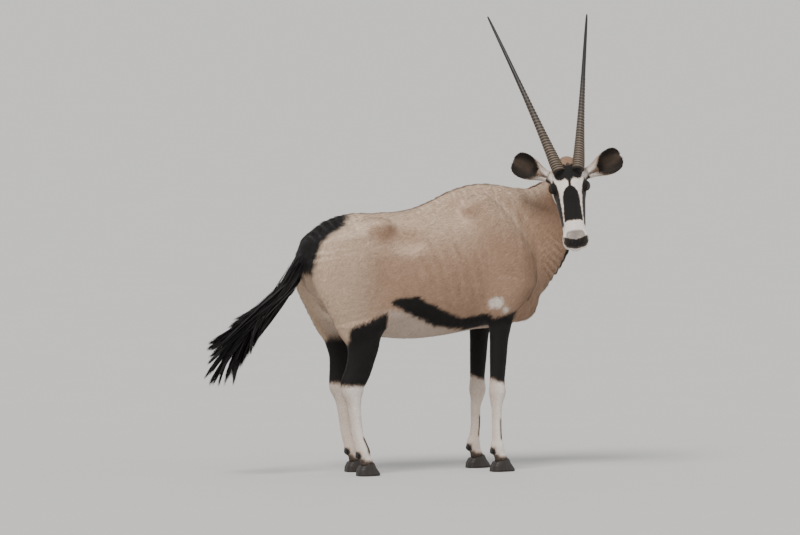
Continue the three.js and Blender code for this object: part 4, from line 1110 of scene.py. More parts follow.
def coat_colour_group():
    """Turns the masks of the coat's marks and of its painted light and shade into the coat's colour, with its
    slow and fine unevenness.
    """
    group, source, sink = new_group("coat colouring", [
        ("Markings and painted light", "NodeSocketColor", "INPUT", (0, 0, 0, 1)),
        ("Brown", "NodeSocketFloat", "INPUT", 0.0),
        ("Unevenness", "NodeSocketFloat", "INPUT", 0.35),
        ("Colour", "NodeSocketColor", "OUTPUT", None),
    ])
    masks = add(group, "ShaderNodeSeparateColor")
    group.links.new(source.outputs["Markings and painted light"], masks.inputs[0])
    black, white, pale = masks.outputs
    uneven = maths(group, "MULTIPLY", noise(group, 7.0, 4.0), source.outputs["Unevenness"])
    colour = mixed(group, uneven, FAWN, SHADED_FAWN)
    # Pale: the paler hair, and painted light on upward faces.
    colour = mixed(group, pale, colour, PALE)
    # Brown: brown hair, and painted shade on the neck, inner thighs and under the head.
    colour = mixed(group, source.outputs["Brown"], colour, BROWN)
    colour = mixed(group, white, colour, WHITE)
    colour = mixed(group, black, colour, BLACK)
    speck = maths(group, "MULTIPLY_ADD", noise(group, 160.0, 3.0), 0.5, 0.75)
    group.links.new(mixed(group, 1.0, colour, speck, "MULTIPLY"), sink.inputs["Colour"])
    return group


COAT_COLOUR = coat_colour_group()


def new_material(name, **settings):
    material = bpy.data.materials.new(name)
    material.use_nodes = True
    tree = material.node_tree
    shader = tree.nodes["Principled BSDF"]
    for key, value in settings.items():
        shader.inputs[key.replace("_", " ")].default_value = value
    return material, tree, shader


def coat_colour(tree):
    """The coat's colour at each point, from the marks and the painted light and shade stored on the mesh."""
    marks = add(tree, "ShaderNodeAttribute", attribute_name="markings_and_painted_light")
    node = tree.nodes.new("ShaderNodeGroup")
    node.node_tree = COAT_COLOUR
    tree.links.new(marks.outputs["Color"], node.inputs["Markings and painted light"])
    tree.links.new(marks.outputs["Alpha"], node.inputs["Brown"])
    return node.outputs["Colour"]


def bump(tree, shader, height, strength, distance):
    node = add(tree, "ShaderNodeBump", Strength=strength, Distance=distance)
    tree.links.new(height, node.inputs["Height"])
    tree.links.new(node.outputs[0], shader.inputs["Normal"])


def skin_material():
    """The short coat, and the bare dark skin of the nose, lips and lids."""
    material, tree, shader = new_material("short_coat", Roughness=0.78, Specular_IOR_Level=0.25,
                                          Sheen_Weight=0.12, Sheen_Roughness=0.5)
    bare = add(tree, "ShaderNodeAttribute", attribute_name="bare").outputs["Fac"]
    coat = coat_colour(tree)
    nose = mixed(tree, 1.0, coat, mixed(tree, noise(tree, 420, 2.0), NOSE_DARK, NOSE_LIGHT), "MULTIPLY")
    tree.links.new(mixed(tree, bare, coat, nose), shader.inputs["Base Color"])
    tree.links.new(ranged(tree, bare, 0.8, 0.38), shader.inputs["Roughness"])
    bump(tree, shader, noise(tree, 300, 3.0, ALONG_HAIR), 0.4, 0.0012)
    return material


def hair_material(name, rough, low, high):
    """Tufts: the coat's colour, each tuft a little lighter or darker, darker at its root as painted shade
    among the tufts and a little lighter at its tip.
    """
    material, tree, shader = new_material(name, Roughness=rough, Specular_IOR_Level=0.3)
    tone, along = channels(tree, "strand")
    # The tone of each tuft, with painted shade at its root.
    shade = maths(tree, "MULTIPLY", ranged(tree, tone, low, high), ranged(tree, along, 0.86, 1.08))
    tree.links.new(mixed(tree, 1.0, coat_colour(tree), shade, "MULTIPLY"), shader.inputs["Base Color"])
    return material


def horn_material():
    """Brown ringed horn, with a painted highlight on the crests of the rings, that darkens and smooths
    towards the tip.
    """
    material, tree, shader = new_material("ringed_horn", Specular_IOR_Level=0.45)
    share, crest = channels(tree, "growth_and_highlight")
    length = add(tree, "ShaderNodeValToRGB")
    stops = length.color_ramp.elements
    stops[0].position, stops[0].color = 0.0, HORN_LOW
    stops[1].position, stops[1].color = SMOOTH_FROM, HORN_TIP
    stops.new(MIDDLE_AT).color = HORN_MIDDLE
    tree.links.new(share, length.inputs[0])
    # Painted highlight on the crests of the rings.
    crest_highlight = mixed(tree, crest, length.outputs[0], RING_HIGHLIGHT)
    streak = maths(tree, "MULTIPLY", noise(tree, 55, 5.0, ALONG_HORN), 0.45)
    tree.links.new(mixed(tree, streak, crest_highlight, HORN_STREAK), shader.inputs["Base Color"])
    tree.links.new(ranged(tree, share, 0.62, 0.28), shader.inputs["Roughness"])
    bump(tree, shader, noise(tree, 240, 4.0, HORN_GRAIN), 0.35, 0.001)
    return material


def hoof_material():
    """Dark horn with wear, streaked down the hoof and faintly stepped round it."""
    material, tree, shader = new_material("hoof_horn", Roughness=0.5, Specular_IOR_Level=0.4)
    streak = noise(tree, 90, 4.0, DOWN_HOOF)
    tree.links.new(mixed(tree, streak, HOOF_DARK, HOOF_WORN), shader.inputs["Base Color"])
    bump(tree, shader, noise(tree, 60, 3.0, ROUND_HOOF), 0.35, 0.0015)
    return material


def eye_material():
    """A wet brown iris with a dark rim and a wide pupil."""
    material, tree, shader = new_material("eye", Roughness=0.08, Specular_IOR_Level=0.3, Coat_Weight=0.15,
                                          Coat_Roughness=0.03)
    pupil, rim = channels(tree, "iris")
    iris = mixed(tree, noise(tree, 500, 2.0), IRIS_DARK, IRIS_LIGHT)
    rimmed = mixed(tree, rim, iris, EYE_RIM)
    tree.links.new(mixed(tree, pupil, rimmed, PUPIL), shader.inputs["Base Color"])
    return material


def floor_material():
    material, tree, shader = new_material("pale_floor", Roughness=0.9)
    tree.links.new(mixed(tree, noise(tree, 2.0), FLOOR_DARK, FLOOR_LIGHT), shader.inputs["Base Color"])
    return material


# Pieces.
def colour_attribute(mesh, name, values):
    layer = mesh.attributes.new(name, "FLOAT_COLOR", "POINT")
    layer.data.foreach_set("color", np.ascontiguousarray(values, np.float32).ravel())


def piece(name, mesh, material, slot, *nodes):
    """A mesh as a piece of the model, in place of the solids that `nodes` names."""
    mesh.materials.append(material)
    mesh.shade_smooth()
    made = bpy.data.objects.new(name, mesh)
    bpy.context.scene.collection.objects.link(made)
    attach(made, "root")
    if nodes:
        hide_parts(*nodes)
    return made


def vertex_normals(mesh):
    n = np.empty(len(mesh.vertices) * 3, np.float32)
    mesh.vertex_normals.foreach_get("vector", n)
    return n.reshape(-1, 3).astype(float)


SHORT_COAT = skin_material()
HAIR = hair_material("tufts_of_coat", 0.7, 0.80, 1.18)
LONG_HAIR = hair_material("long_dark_hair", 0.6, 0.55, 1.35)
HORN, EYE, HOOF = horn_material(), eye_material(), hoof_material()


def make_skin():
    """The body's skin with both ears, in one mesh, and what the coat needs to know of it."""
    body = skin_mesh()
    points, _ = mesh_arrays(body)
    places = points.astype(float)
    normals = vertex_normals(body)
    faces = [tuple(face.vertices) for face in body.polygons]
    bpy.data.meshes.remove(body)
    quads = np.array([face[:4] if len(face) > 3 else (*face, face[2]) for face in faces])
    all_points = [points]
    all_marks = [marks_of(places, normals)]
    all_bare = [bare_skin(in_head(points), points) * head_share(places)]
    ears = {}
    start = len(points)
    for sign in SIDES:
        sheet, ear_faces, where = ear_sheet(sign)
        ears[sign] = (sheet, ear_faces, where)
        faces += [tuple(i + start for i in face) for face in ear_faces]
        start += len(sheet)
        all_points.append(sheet)
        all_marks.append(ear_marks(where))
        all_bare.append(0.15 * (where[:, 2] > 0) * (1 - np.abs(where[:, 1])))
    whole = mesh_from("skin_and_ears", placed(np.concatenate(all_points)), faces)
    colour_attribute(whole, "markings_and_painted_light", np.concatenate(all_marks))
    layer = whole.attributes.new("bare", "FLOAT", "POINT")
    layer.data.foreach_set("value", np.concatenate(all_bare).astype(np.float32))
    flesh = ["torso", "neck", "head", "ear_left", "ear_right"]
    flesh += [f"{end}leg_{side}_{part}" for end, side, *_ in FEET for part in ("upper", "lower")]
    piece("skin", whole, SHORT_COAT, "coat", *flesh)
    return places, normals, quads, ears


def scattered(points, normals, quads, weight, count, random):
    """Random places over the facets, as many to the area as its weight says."""
    tris = np.concatenate([quads[:, [0, 1, 2]], quads[:, [0, 2, 3]]])
    tris = tris[tris[:, 1] != tris[:, 2]]
    a, b, c = (points[tris[:, i]] for i in range(3))
    area = np.linalg.norm(np.cross(b - a, c - a), axis=1) * 0.5
    pull = area * weight[tris].mean(1)
    total = np.cumsum(pull)
    pick = np.searchsorted(total, random.random(count) * total[-1])
    r, s = np.sqrt(random.random(count)), random.random(count)
    share = np.stack([1 - r, r * (1 - s), r * s], 1)
    corners = tris[pick]
    p = (points[corners] * share[:, :, None]).sum(1)
    n = (normals[corners] * share[:, :, None]).sum(1)
    return p, n / np.linalg.norm(n, axis=1)[:, None]


# A blade's width along it is part of a sine wave, widest a little above the root.
BLADE_FROM, BLADE_SPAN, BLADE_FULL = 0.30, 0.66, 0.7
BAKE_PATCH = 0.003
TUFT_ROWS, ROOT_SUNK = 3, 0.8


def blades(name, lines, sides, widths, marks, tones, uv, material, slot, *nodes):
    """Flat tapered tufts in one mesh. `lines` holds every tuft's points from root to tip."""
    count, rows, _ = lines.shape
    share = np.linspace(0, 1, rows)
    full = np.sin(np.pi * (BLADE_FROM + BLADE_SPAN * share)) ** BLADE_FULL
    half = 0.5 * widths[:, None, None] * full[None, :, None] * sides[:, None, :]
    left, right = lines - half, lines + half
    pairs = np.stack([left[:, :-1], right[:, :-1]], 2).reshape(count, -1, 3)
    points = np.concatenate([pairs, lines[:, -1:]], 1)
    each = 2 * (rows - 1) + 1
    base = (np.arange(count) * each)[:, None]
    quads = np.concatenate([base + 2 * r + np.array([0, 1, 3, 2]) for r in range(rows - 2)], 1)
    tips = base + np.array([each - 3, each - 2, each - 1])
    loops = np.concatenate([quads, tips], 1).ravel()
    sizes = np.tile(np.array([4] * (rows - 2) + [3]), count)
    mesh = bpy.data.meshes.new(name)
    mesh.vertices.add(count * each)
    mesh.vertices.foreach_set("co", placed(points.reshape(-1, 3)).astype(np.float32).ravel())
    mesh.loops.add(len(loops))
    mesh.loops.foreach_set("vertex_index", loops.astype(np.int32))
    mesh.polygons.add(len(sizes))
    starts = np.concatenate([[0], np.cumsum(sizes)[:-1]])
    mesh.polygons.foreach_set("loop_start", starts.astype(np.int32))
    mesh.update(calc_edges=True)
    along = np.append(np.repeat(share[:-1], 2), 1.0)
    across = np.append(np.tile([0.0, 1.0], rows - 1), 0.5)
    patch = uv[:, None, :] + BAKE_PATCH * np.stack([across - 0.5, along - 0.5], 1)[None]
    layer = mesh.uv_layers.new(name="OFBake")
    layer.data.foreach_set("uv", patch.reshape(-1, 2)[loops].astype(np.float32).ravel())
    colour_attribute(mesh, "markings_and_painted_light", np.repeat(marks, each, 0))
    strand = np.zeros((count * each, 4))
    strand[:, 0] = np.repeat(tones, each)
    strand[:, 1] = np.tile(along, count)
    strand[:, 3] = 1
    colour_attribute(mesh, "strand", strand)
    mesh.validate()
    return piece(name, mesh, material, slot, *nodes)


def laid(p, n, lie, length, lift, random, sway):
    """Lines that leave the skin at a low angle and settle along the lie of the coat."""
    side = np.cross(n, lie)
    turn = (random.random(len(p)) - 0.5) * 2 * sway
    way = lie * np.cos(turn)[:, None] + side * np.sin(turn)[:, None]
    t = np.linspace(0, 1, TUFT_ROWS)[None, :, None]
    rise = lift[:, None, None] * (1.6 * t - 0.75 * t * t)
    reach = length[:, None, None]
    start = (p - n * ROOT_SUNK)[:, None, :]
    return start + way[:, None, :] * (reach * t) + n[:, None, :] * (reach * rise), np.cross(n, way)


LEGS_BELOW = 640


# The coat's regions: where each is, how thick it grows, and the unwrap that places its tufts.
def unwrap(kind, p):
    """The place of each point on an unwrap of the region, rolled out round the form that it covers."""
    x, y, z = p.T
    if kind == "head":
        h = in_head(p)
        uv = np.stack([(h[:, 0] + 130) / 400, np.arctan2(h[:, 1], h[:, 2] + 15) / (2 * np.pi) + 0.5], 1)
    elif kind == "neck":
        found, _ = NECK_TUBE.local(p)
        uv = np.stack([found[:, 0], np.arctan2(found[:, 2], found[:, 1]) / (2 * np.pi) + 0.5], 1)
    elif kind in ("forelegs", "hindlegs"):
        centre = 265 if kind == "forelegs" else -365
        around = np.arctan2(np.abs(y) - LEG_SPREAD, x - centre) / (2 * np.pi) + 0.5
        uv = np.stack([(around + (y < 0)) * 0.5, z / 800], 1)
    else:
        uv = np.stack([(x + 660) / 1160, np.arctan2(y, z - 850) / (2 * np.pi) + 0.5], 1)
    return np.clip(uv, 0.0, 1.0) * 0.98 + 0.01


# How many tufts, their length and width in millimetres, their lift and their sway.
COAT_REGIONS = {
    "rear": (52000, 17, 2.0, 0.16, 0.22),
    "front": (52000, 17, 2.0, 0.16, 0.22),
    "neck": (46000, 20, 2.0, 0.17, 0.22),
    "head": (60000, 8.0, 1.1, 0.14, 0.16),
    "forelegs": (40000, 10, 1.3, 0.14, 0.14),
    "hindlegs": (46000, 11, 1.4, 0.14, 0.14),
}


def region_of(p):
    """The name of the coat's region at each point."""
    x, y, z = p.T
    names = np.full(len(p), "front", dtype=object)
    names[x < -80] = "rear"
    names[(x > 372) & (z > LEGS_BELOW)] = "neck"
    names[(z < LEGS_BELOW) & (x > 100)] = "forelegs"
    names[(z < LEGS_BELOW) & (x < -180) & (np.abs(y) > 30)] = "hindlegs"
    names[head_share(p) > 0.5] = "head"
    return names


def make_coat(points, normals, quads):
    """Short tufts over the whole skin, in one piece for each region."""
    random = np.random.default_rng(11)
    where = region_of(points)
    haired = 1 - bare_skin(in_head(points), points) * head_share(points)
    for kind, (count, length, width, lift, sway) in COAT_REGIONS.items():
        weight = (where == kind).astype(float) * haired
        if kind == "rear":
            weight *= 1 - 0.9 * ramp(-points[:, 0], 600, 620)
        p, n = scattered(points, normals, quads, weight, count, random)
        size = length * (0.7 + 0.6 * random.random(count))
        if kind == "head":
            h = in_head(p)
            size *= (0.55 + 0.9 * ramp(-h[:, 0], -40, 90)) * (1 - 0.6 * ramp(horn_away(h), -42, -32))
        if kind in ("forelegs", "hindlegs"):
            size *= 0.6 + 0.6 * ramp(p[:, 2], 120, 500)
            size *= 1 + 0.9 * ramp(-p[:, 2], -68, -52)
        lie = lie_of(p, n)
        lifts = lift * (0.6 + 0.9 * random.random(count))
        lines, sides = laid(p, n, lie, size, lifts, random, sway)
        marks = marks_of(p + random.normal(0, 1.2, p.shape), n)
        widths = width * (0.75 + 0.5 * random.random(count))
        tones = random.random(count)
        blades(f"coat_{kind}", lines, sides, widths, marks, tones, unwrap(kind, p), HAIR, "coat")


# For the back of an ear, 0, and its inside, 1: how many tufts, and their length in millimetres.
EAR_TUFTS = [(0, 7000, 8), (1, 6000, 11)]


def ear_place(sign, p):
    """The share along the ear, and the place across it from -1 to 1, of points on its sheet."""
    origin, axes = ear_axes(sign)
    local = (p - origin) @ axes.T
    t = local[:, 0] / EAR_LENGTH
    stages = np.array(EAR_STAGES)
    width, depth, rim = (np.interp(t, stages[:, 0], stages[:, i]) for i in (1, 2, 3))
    turn = np.degrees(np.arctan2(local[:, 1] / width, EAR_HOLLOW - local[:, 2] / depth))
    return t, np.clip(turn / rim, -1, 1)


def make_ear_hair(ears):
    """Short hair on the backs of the ears, and longer hair inside their rims."""
    random = np.random.default_rng(5)
    parts = []
    for sign, (sheet, faces, where) in ears.items():
        mesh = mesh_from("ear", sheet, faces)
        normals = vertex_normals(mesh)
        bpy.data.meshes.remove(mesh)
        _, axes = ear_axes(sign)
        for face, count, length in EAR_TUFTS:
            weight = (where[:, 2] == face).astype(float) * ramp(where[:, 0], 0.12, 0.2)
            if face:
                weight *= 0.35 + ramp(np.abs(where[:, 1]), 0.5, 0.85)
            p, n = scattered(sheet, normals, np.array(faces), weight, count, random)
            t, across = ear_place(sign, p)
            lie = axes[0] + 0.35 * axes[1] * np.sign(across)[:, None] * (-0.6 if face else 1)
            lie = lie - n * (lie * n).sum(1)[:, None]
            lie /= np.linalg.norm(lie, axis=1)[:, None]
            size = length * (0.7 + 0.6 * random.random(count))
            size = size * (1 + 0.25 * face * ramp(np.abs(across), 0.5, 0.8)) * (1 - 0.4 * ramp(t, 0.8, 1.0))
            lines, sides = laid(p, n, lie, size, 0.22 * (0.5 + random.random(count)), random, 0.3)
            widths = 0.7 + 0.5 * random.random(count)
            marks = ear_marks(np.stack([t, across, np.full(count, face)], 1))
            unwrapped = np.stack([np.clip(t, 0, 1) + face, across * 0.5 + 0.5 + (sign < 0)], 1) * 0.49 + 0.005
            parts.append((lines, sides, widths, marks, unwrapped))
    lines, sides, widths, marks, uv = (np.concatenate(column) for column in zip(*parts))
    blades("coat_ears", lines, sides, widths, marks, random.random(len(widths)), uv, HAIR, "pale_coat")


# The tail's long hair grows in locks from the dock and fans out to these tips, seen from the side.
TAIL_TIPS = [
    (-1012, 556), (-1034, 520), (-1020, 484), (-1002, 448), (-1038, 402), (-1024, 372),
    (-992, 386), (-968, 362), (-936, 378), (-908, 402), (-884, 446), (-862, 486),
]
TAIL_LOCKS, LOCK_HAIRS, TAIL_ROWS = 96, 120, 9
TAIL_SPREAD, TAIL_HAIR_WIDTH, TIP_UNEVEN = 24, 2.6, 60
# How far a lock's middle swings out of the dock's line, as a share of its length.
TAIL_SWING = np.array([-0.02, 0, 0.03])


def tail_lock(lock, random):
    """The hairs of one lock, the way each lies flat, and their roots on an unwrap of the dock."""
    dock, count = DOCK_TUBE, LOCK_HAIRS
    links = len(dock.length)
    share = 0.12 + 0.86 * (lock / TAIL_LOCKS) ** 0.9
    i = min(int(share * links), links - 1)
    at = dock.at[i] + (dock.at[i + 1] - dock.at[i]) * (share * links - i)
    radius = dock.a[i] * 0.8
    turn = random.random() * 2 * np.pi
    out = dock.depth[i] * np.sin(turn) + dock.side[i] * np.cos(turn)
    tip_x, tip_z = TAIL_TIPS[random.integers(len(TAIL_TIPS))]
    tip = np.array([tip_x, random.normal(0, TAIL_SPREAD), tip_z])
    full = 0.62 + 0.38 * random.random() ** 0.5
    if share < 0.5:
        full = full * (0.55 + 0.45 * share)
    tip = at + (tip - at) * full + random.normal(0, 5, 3)
    span = np.linalg.norm(tip - at)
    bend = at + dock.along[min(i + 2, links - 1)] * span * 0.5 + TAIL_SWING * span
    spread = random.normal(0, 1, (count, 3)) * radius * 0.42
    start = at + out * radius * 0.6 + spread
    loose = random.normal(0, 3.0, (count, 3))
    end = tip + loose + (tip - bend) / span * (random.random((count, 1)) - 0.75) * TIP_UNEVEN
    middle = bend + (spread * 0.9 + out * 7)
    u = np.linspace(0, 1, TAIL_ROWS)[None, :, None]
    curve = start[:, None] * (1 - u) ** 2 + middle[:, None] * 2 * u * (1 - u) + end[:, None] * u * u
    way = curve[:, TAIL_ROWS // 2 + 1] - curve[:, TAIL_ROWS // 2 - 1]
    flat = np.cross(way, out + random.normal(0, 0.5, (count, 3)))
    around = (turn / (2 * np.pi) + 0.02 * random.random(count)) % 1
    return curve, flat / np.linalg.norm(flat, axis=1)[:, None], np.stack([np.full(count, share), around], 1)


def make_tail():
    """The long black hair of the tail."""
    random = np.random.default_rng(23)
    locks = [tail_lock(lock, random) for lock in range(TAIL_LOCKS)]
    lines, sides, roots = (np.concatenate(column) for column in zip(*locks))
    count = len(lines)
    tones = np.repeat(random.random(TAIL_LOCKS), LOCK_HAIRS) * 0.6 + 0.4 * random.random(count)
    widths = TAIL_HAIR_WIDTH * (0.6 + 0.8 * random.random(count))
    marks = np.tile([1.0, 0, 0, 0], (count, 1))
    uv = roots * 0.98 + 0.01
    blades("tail_hair", lines, sides, widths, marks, tones, uv, LONG_HAIR, "dark_coat", "tail")


MANE_HAIRS, MANE_LENGTH, MANE_SPREAD = 9000, 30, 6.5
# How full the mane is along the neck. Each hair starts MANE_UNDER below the crest and climbs to the skin.
MANE_FULLNESS = [(0.1, 0.55), (0.3, 1), (0.9, 1.1), (1, 0.9)]
MANE_UNDER, MANE_STEP, MANE_STEPS = 60, 3.0, 40


def make_mane():
    """Short upright hair from the withers to the crown."""
    random = np.random.default_rng(31)
    neck = NECK_TUBE
    share = 0.10 + 0.86 * random.random(MANE_HAIRS)
    links = share * (len(neck.length) - 1e-3)
    i = links.astype(int)
    t = links - i
    at = neck.at[i] + (neck.at[i + 1] - neck.at[i]) * t[:, None]
    deep = neck.a[i] + (neck.a[i + 1] - neck.a[i]) * t
    up = neck.depth[i] * NECK_DEPTH_UP
    aside = random.normal(0, MANE_SPREAD, MANE_HAIRS)
    start = at + up * (deep - MANE_UNDER)[:, None] + neck.side[i] * aside[:, None]
    lift = np.zeros(MANE_HAIRS)
    for _ in range(MANE_STEPS):
        under = skin_form((start + up * lift[:, None]).astype(np.float32)) < -1.0
        lift += np.where(under, MANE_STEP, 0)
    p = start + up * lift[:, None]
    keep = (lift < MANE_STEP * MANE_STEPS) & (head_share(p) < 0.3)
    p, up, aside, share = p[keep], up[keep], aside[keep], share[keep]
    along, side = neck.along[i][keep], neck.side[i][keep]
    count = len(p)
    length = MANE_LENGTH * (0.65 + 0.6 * random.random(count)) * reading(MANE_FULLNESS, share)
    way = up - 0.75 * along + side * (aside / 30)[:, None] + random.normal(0, 0.12, (count, 3))
    way /= np.linalg.norm(way, axis=1)[:, None]
    t = np.linspace(0, 1, 4)[None, :, None]
    root = p[:, None] - 2 * up[:, None]
    lean = along[:, None] * (length * 0.35)[:, None, None]
    lines = root + way[:, None] * length[:, None, None] * t - lean * t ** 2
    marks = np.zeros((count, 4))
    marks[:, 3] = 0.5 + 0.4 * random.random(count)
    marks[:, 0] = 0.35 * (np.abs(aside) < 5)
    uv = np.stack([share, np.clip(aside / 60 + 0.5, 0.01, 0.99)], 1)
    widths = 2.0 * (0.7 + 0.6 * random.random(count))
    blades("mane", lines, along, widths, marks, random.random(count), uv, HAIR, "dark_coat")


def tube_faces(rows, around):
    """The facets of a tube of rings, closed at both ends."""
    faces = []
    for row in range(rows - 1):
        for c in range(around):
            a, b = row * around + c, row * around + (c + 1) % around
            faces.append((a, b, b + around, a + around))
    faces.append(tuple(range(around))[::-1])
    faces.append(tuple((rows - 1) * around + c for c in range(around)))
    return faces


# Horns: rings that fade towards the smooth dark tips.
HORN_RINGS, HORN_AROUND, HORN_ROWS, HORN_CURVE = 33, 36, 490, 16
HORN_BELOW, HORN_TIP_RADIUS, HORN_FLAT = 16, 0.4, 0.94
# Where the first ring lies, how far apart the rings are at the foot, how much further near the tip, and
# how far they stand out.
RING_FIRST, RING_APART, RING_OPENING, RING_RISE = -38.0, 11, 8, 3.2
RING_TILT = 3.5


def horn_axis(sign, t):
    """The horn's middle line, bowed a little back, at each share of its length."""
    straight = side_of(HORN_FOOT, sign) + HORN_LIE[sign] * (HORN_LENGTH * t)[:, None]
    return from_head(straight + np.array([-0.25, 0, 0.95]) * (4 * HORN_CURVE * t * (1 - t))[:, None])


def horn_rings(place):
    """How far the rings swell the horn at each place along it, and how near that is to a crest."""
    swell, crest = np.zeros(len(place)), np.zeros(len(place))
    along = RING_FIRST
    for ring in range(HORN_RINGS):
        spacing = RING_APART + RING_OPENING * ring / HORN_RINGS
        strength = 1 - 0.75 * (ring / HORN_RINGS) ** 2
        shape = ridge((place - along) / spacing + 0.08, 0.22)
        swell += strength * RING_RISE * shape
        crest = np.maximum(crest, strength * shape)
        along += spacing
    return swell, crest


def make_horn(sign):
    """A horn with its rings, thinnest and smooth at the tip."""
    t = np.linspace(-(HORN_SUNK + HORN_BELOW) / HORN_LENGTH, 1, HORN_ROWS)
    centre = horn_axis(sign, t)
    way = np.gradient(centre, axis=0)
    way /= np.linalg.norm(way, axis=1)[:, None]
    side = HEAD[1] - way * (way @ HEAD[1])[:, None]
    side /= np.linalg.norm(side, axis=1)[:, None]
    deep = np.cross(way, side)
    slim = 0.42 + 0.58 * np.minimum(1 - t, 1) ** 3
    radius = HORN_BASE * slim * np.maximum(1 - t, 1e-4) ** 0.28 + 0.9
    place = t * HORN_LENGTH
    swell, crest = horn_rings(place)
    turn = np.arange(HORN_AROUND) * 2 * np.pi / HORN_AROUND
    tilted = RING_TILT * np.sin(turn)
    points, growth_and_highlight = [], []
    for r in range(HORN_ROWS):
        rise = np.interp(place[r] + tilted, place, swell) * (0.75 + 0.35 * np.sin(turn + 0.6))
        rough = 0.35 * np.sin(turn * 7 + 2 * np.sin(place[r] / 26)) * max(0, 1 - t[r] * 1.4)
        reach = radius[r] + rise + rough if t[r] <= 0.999 else np.full(HORN_AROUND, HORN_TIP_RADIUS)
        ahead, aside = reach * np.cos(turn), HORN_FLAT * reach * np.sin(turn)
        points.append(centre[r] + deep[r] * ahead[:, None] + side[r] * aside[:, None])
        # How strongly the painted highlight lies on each ring's crest.
        crest_highlight = np.interp(place[r] + tilted, place, crest) ** 2.2 * 0.95
        growth_and_highlight.append(np.stack([np.full(HORN_AROUND, max(t[r], 0)), crest_highlight, 0 * turn, 0 * turn + 1], 1))
    name = "left" if sign > 0 else "right"
    faces = tube_faces(HORN_ROWS, HORN_AROUND)
    mesh = mesh_from(f"horn_{name}_rings", placed(np.concatenate(points)), faces)
    colour_attribute(mesh, "growth_and_highlight", np.concatenate(growth_and_highlight))
    piece(f"horn_{name}_ringed", mesh, HORN, "horn", f"horn_{name}")


# The eyes: balls with a low cornea, a pupil wider than high, and a dark rim to the iris.
EYE_ROWS, EYE_AROUND, EYE_GAP = 40, 48, 0.4
CORNEA_RISE, CORNEA_REACH = 1.1, 0.5
PUPIL_LENGTH, PUPIL_HEIGHT = 6.4, 3.6


def make_eye(sign):
    """An eye's ball, that the lids close over."""
    centre, axes = EYES[sign]
    turn = np.arange(EYE_AROUND) * 2 * np.pi / EYE_AROUND
    points, marks = [], []
    for away in np.linspace(0.001, np.pi - 0.001, EYE_ROWS):
        radius = (EYE_RADIUS - EYE_GAP) + CORNEA_RISE * math.exp(-(away / CORNEA_REACH) ** 2)
        ring = radius * math.sin(away)
        ahead, up = ring * np.cos(turn), ring * np.sin(turn)
        out = np.full(EYE_AROUND, radius * math.cos(away))
        points.append(centre + np.stack([ahead, up, out], 1) @ axes)
        oval = np.hypot(ahead / PUPIL_LENGTH, up / PUPIL_HEIGHT)
        pupil = ramp(-oval, -1.08, -0.92) * (math.cos(away) > 0)
        rim = ramp(np.full(EYE_AROUND, math.degrees(away)), 36, 42)
        marks.append(np.stack([pupil, rim, 0 * turn, 0 * turn + 1], 1))
    faces = []
    for row in range(EYE_ROWS - 1):
        for c in range(EYE_AROUND):
            a, b = row * EYE_AROUND + c, row * EYE_AROUND + (c + 1) % EYE_AROUND
            faces.append((a, a + EYE_AROUND, b + EYE_AROUND, b))
    name = "left" if sign > 0 else "right"
    mesh = mesh_from(f"eye_{name}_ball", placed(np.concatenate(points)), faces)
    colour_attribute(mesh, "iris", np.concatenate(marks))
    piece(f"eye_{name}_ball", mesh, EYE, "eye", f"eye_{name}")


# The hooves. A claw's stages are a share of its height, of its length, its width and its middle.
CLAW_GAP, CLAW_AROUND, CLAW_ROWS, CLAW_TOP = 3, 48, 22, 1.5
CLAW_LENGTH = {"fore": 110, "hind": 104}
CLAW_STAGES = np.array([(0.0, 0.96, 33, 3), (0.13, 1.0, 35, 4), (0.6, 0.8, 32, -4), (1.0, 0.62, 28, -4)])
CLAW_STEP, CLAW_STEPS = 0.35, 40


def make_claw(end, side, sign, foot, inward):
    """One half of a cloven hoof, flat below and marked by wear in faint steps."""
    outward = sign * (-1 if inward else 1)
    turn = np.linspace(0, np.pi, CLAW_AROUND)
    points = []
    for share in np.linspace(0, 1, CLAW_ROWS):
        scale, width, middle = (np.interp(share, CLAW_STAGES[:, 0], CLAW_STAGES[:, i]) for i in (1, 2, 3))
        step = CLAW_STEP * math.sin(share * CLAW_STEPS) if 0.15 < share < 0.95 else 0.0
        x = middle + 0.5 * (CLAW_LENGTH[end] + step) * scale * np.cos(turn)
        y = CLAW_GAP / 2 + (width + step) * np.sin(turn) ** 0.7 * (1 - 0.2 * np.cos(turn))
        z = share * (CORONET + CORONET_SLOPE * x + CLAW_TOP)
        points.append(np.stack([foot + x, sign * LEG_SPREAD + outward * y, z], 1))
    faces = tube_faces(CLAW_ROWS, CLAW_AROUND)
    if outward < 0:
        faces = [face[::-1] for face in faces]
    name = f"hoof_{end}_{side}_{'inner' if inward else 'outer'}"
    mesh = mesh_from(name + "_claw", placed(np.concatenate(points)), faces)
    piece(name + "_claw", mesh, HOOF, "hoof", name)


# The floor, the light and the camera.
FLOOR_REACH = 400
AMBIENT, AMBIENT_STRENGTH = srgb(0.945, 0.95, 0.955), 0.85
# Name, where it shines from, strength, softness in degrees and tint.
LIGHTS = [
    ("key_light", (-4.0, -4.0, 8.0), 3.0, 22, (1.0, 0.975, 0.94)),
    ("fill_light", (6.0, -3.0, 4.0), 0.3, 60, (0.96, 0.98, 1.0)),
]


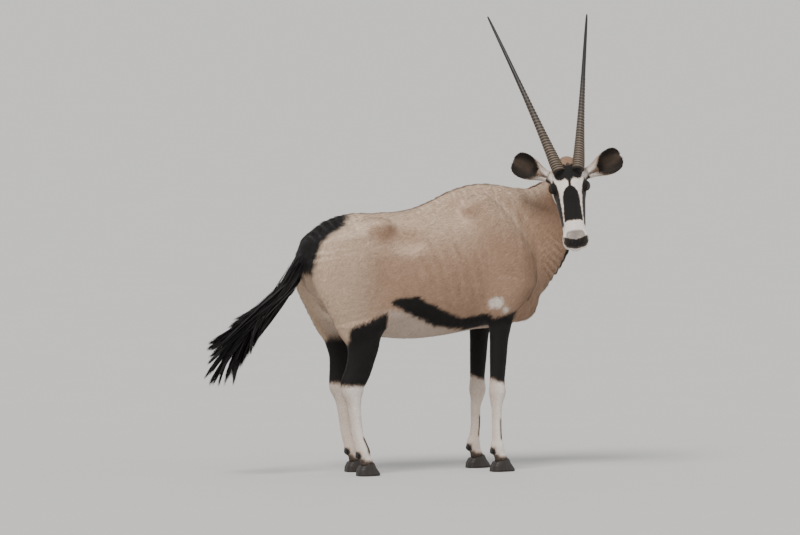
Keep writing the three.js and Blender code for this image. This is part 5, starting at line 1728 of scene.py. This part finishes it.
def make_studio():
    """A plain floor, an even pale surround and two soft lights."""
    r = FLOOR_REACH
    floor = mesh_from("floor_plane", [(-r, -r, 0), (r, -r, 0), (r, r, 0), (-r, r, 0)], [(0, 1, 2, 3)])
    floor.materials.append(floor_material())
    ground = bpy.data.objects.new("floor", floor)
    bpy.context.scene.collection.objects.link(ground)
    world = bpy.data.worlds.new("studio")
    bpy.context.scene.world = world
    world.use_nodes = True
    background = world.node_tree.nodes["Background"]
    background.inputs["Color"].default_value = AMBIENT
    background.inputs["Strength"].default_value = AMBIENT_STRENGTH
    for name, place, strength, soft, tint in LIGHTS:
        lamp = bpy.data.lights.new(name, "SUN")
        lamp.energy, lamp.angle, lamp.color = strength, math.radians(soft), tint
        holder = bpy.data.objects.new(name, lamp)
        bpy.context.scene.collection.objects.link(holder)
        holder.location = place
        holder.rotation_euler = (-Vector(place)).to_track_quat("-Z", "Y").to_euler()


# The camera stands far away and a little above level, with a long lens.
CAMERA_TURN, CAMERA_RISE, CAMERA_AWAY, CAMERA_LENS = math.radians(-22), math.radians(3), 28.0, 296.5
CAMERA_SENSOR, CAMERA_SEES = 36, 200
CAMERA_TARGET = (-118.2, 47.8, 869)


def make_camera():
    """The camera, turned to the body as in the photograph."""
    target = Vector(placed(CAMERA_TARGET))
    level = math.cos(CAMERA_RISE)
    back = Vector((math.sin(CAMERA_TURN) * level, -math.cos(CAMERA_TURN) * level, math.sin(CAMERA_RISE)))
    data = bpy.data.cameras.new("camera")
    data.lens, data.sensor_width, data.clip_end = CAMERA_LENS, CAMERA_SENSOR, CAMERA_SEES
    camera = bpy.data.objects.new("camera", data)
    bpy.context.scene.collection.objects.link(camera)
    camera.location = target + back * CAMERA_AWAY
    camera.rotation_euler = (-back).to_track_quat("-Z", "Y").to_euler()
    bpy.context.scene.camera = camera


make_camera()
make_studio()
skin_points, skin_normals, skin_quads, ear_meshes = make_skin()
make_coat(skin_points, skin_normals, skin_quads)
make_ear_hair(ear_meshes)
make_tail()
make_mane()
for hand in SIDES:
    make_horn(hand)
    make_eye(hand)
for end, side, sign, foot, _ in FEET:
    for inward in (True, False):
        make_claw(end, side, sign, foot, inward)

bpy.context.view_layer.update()
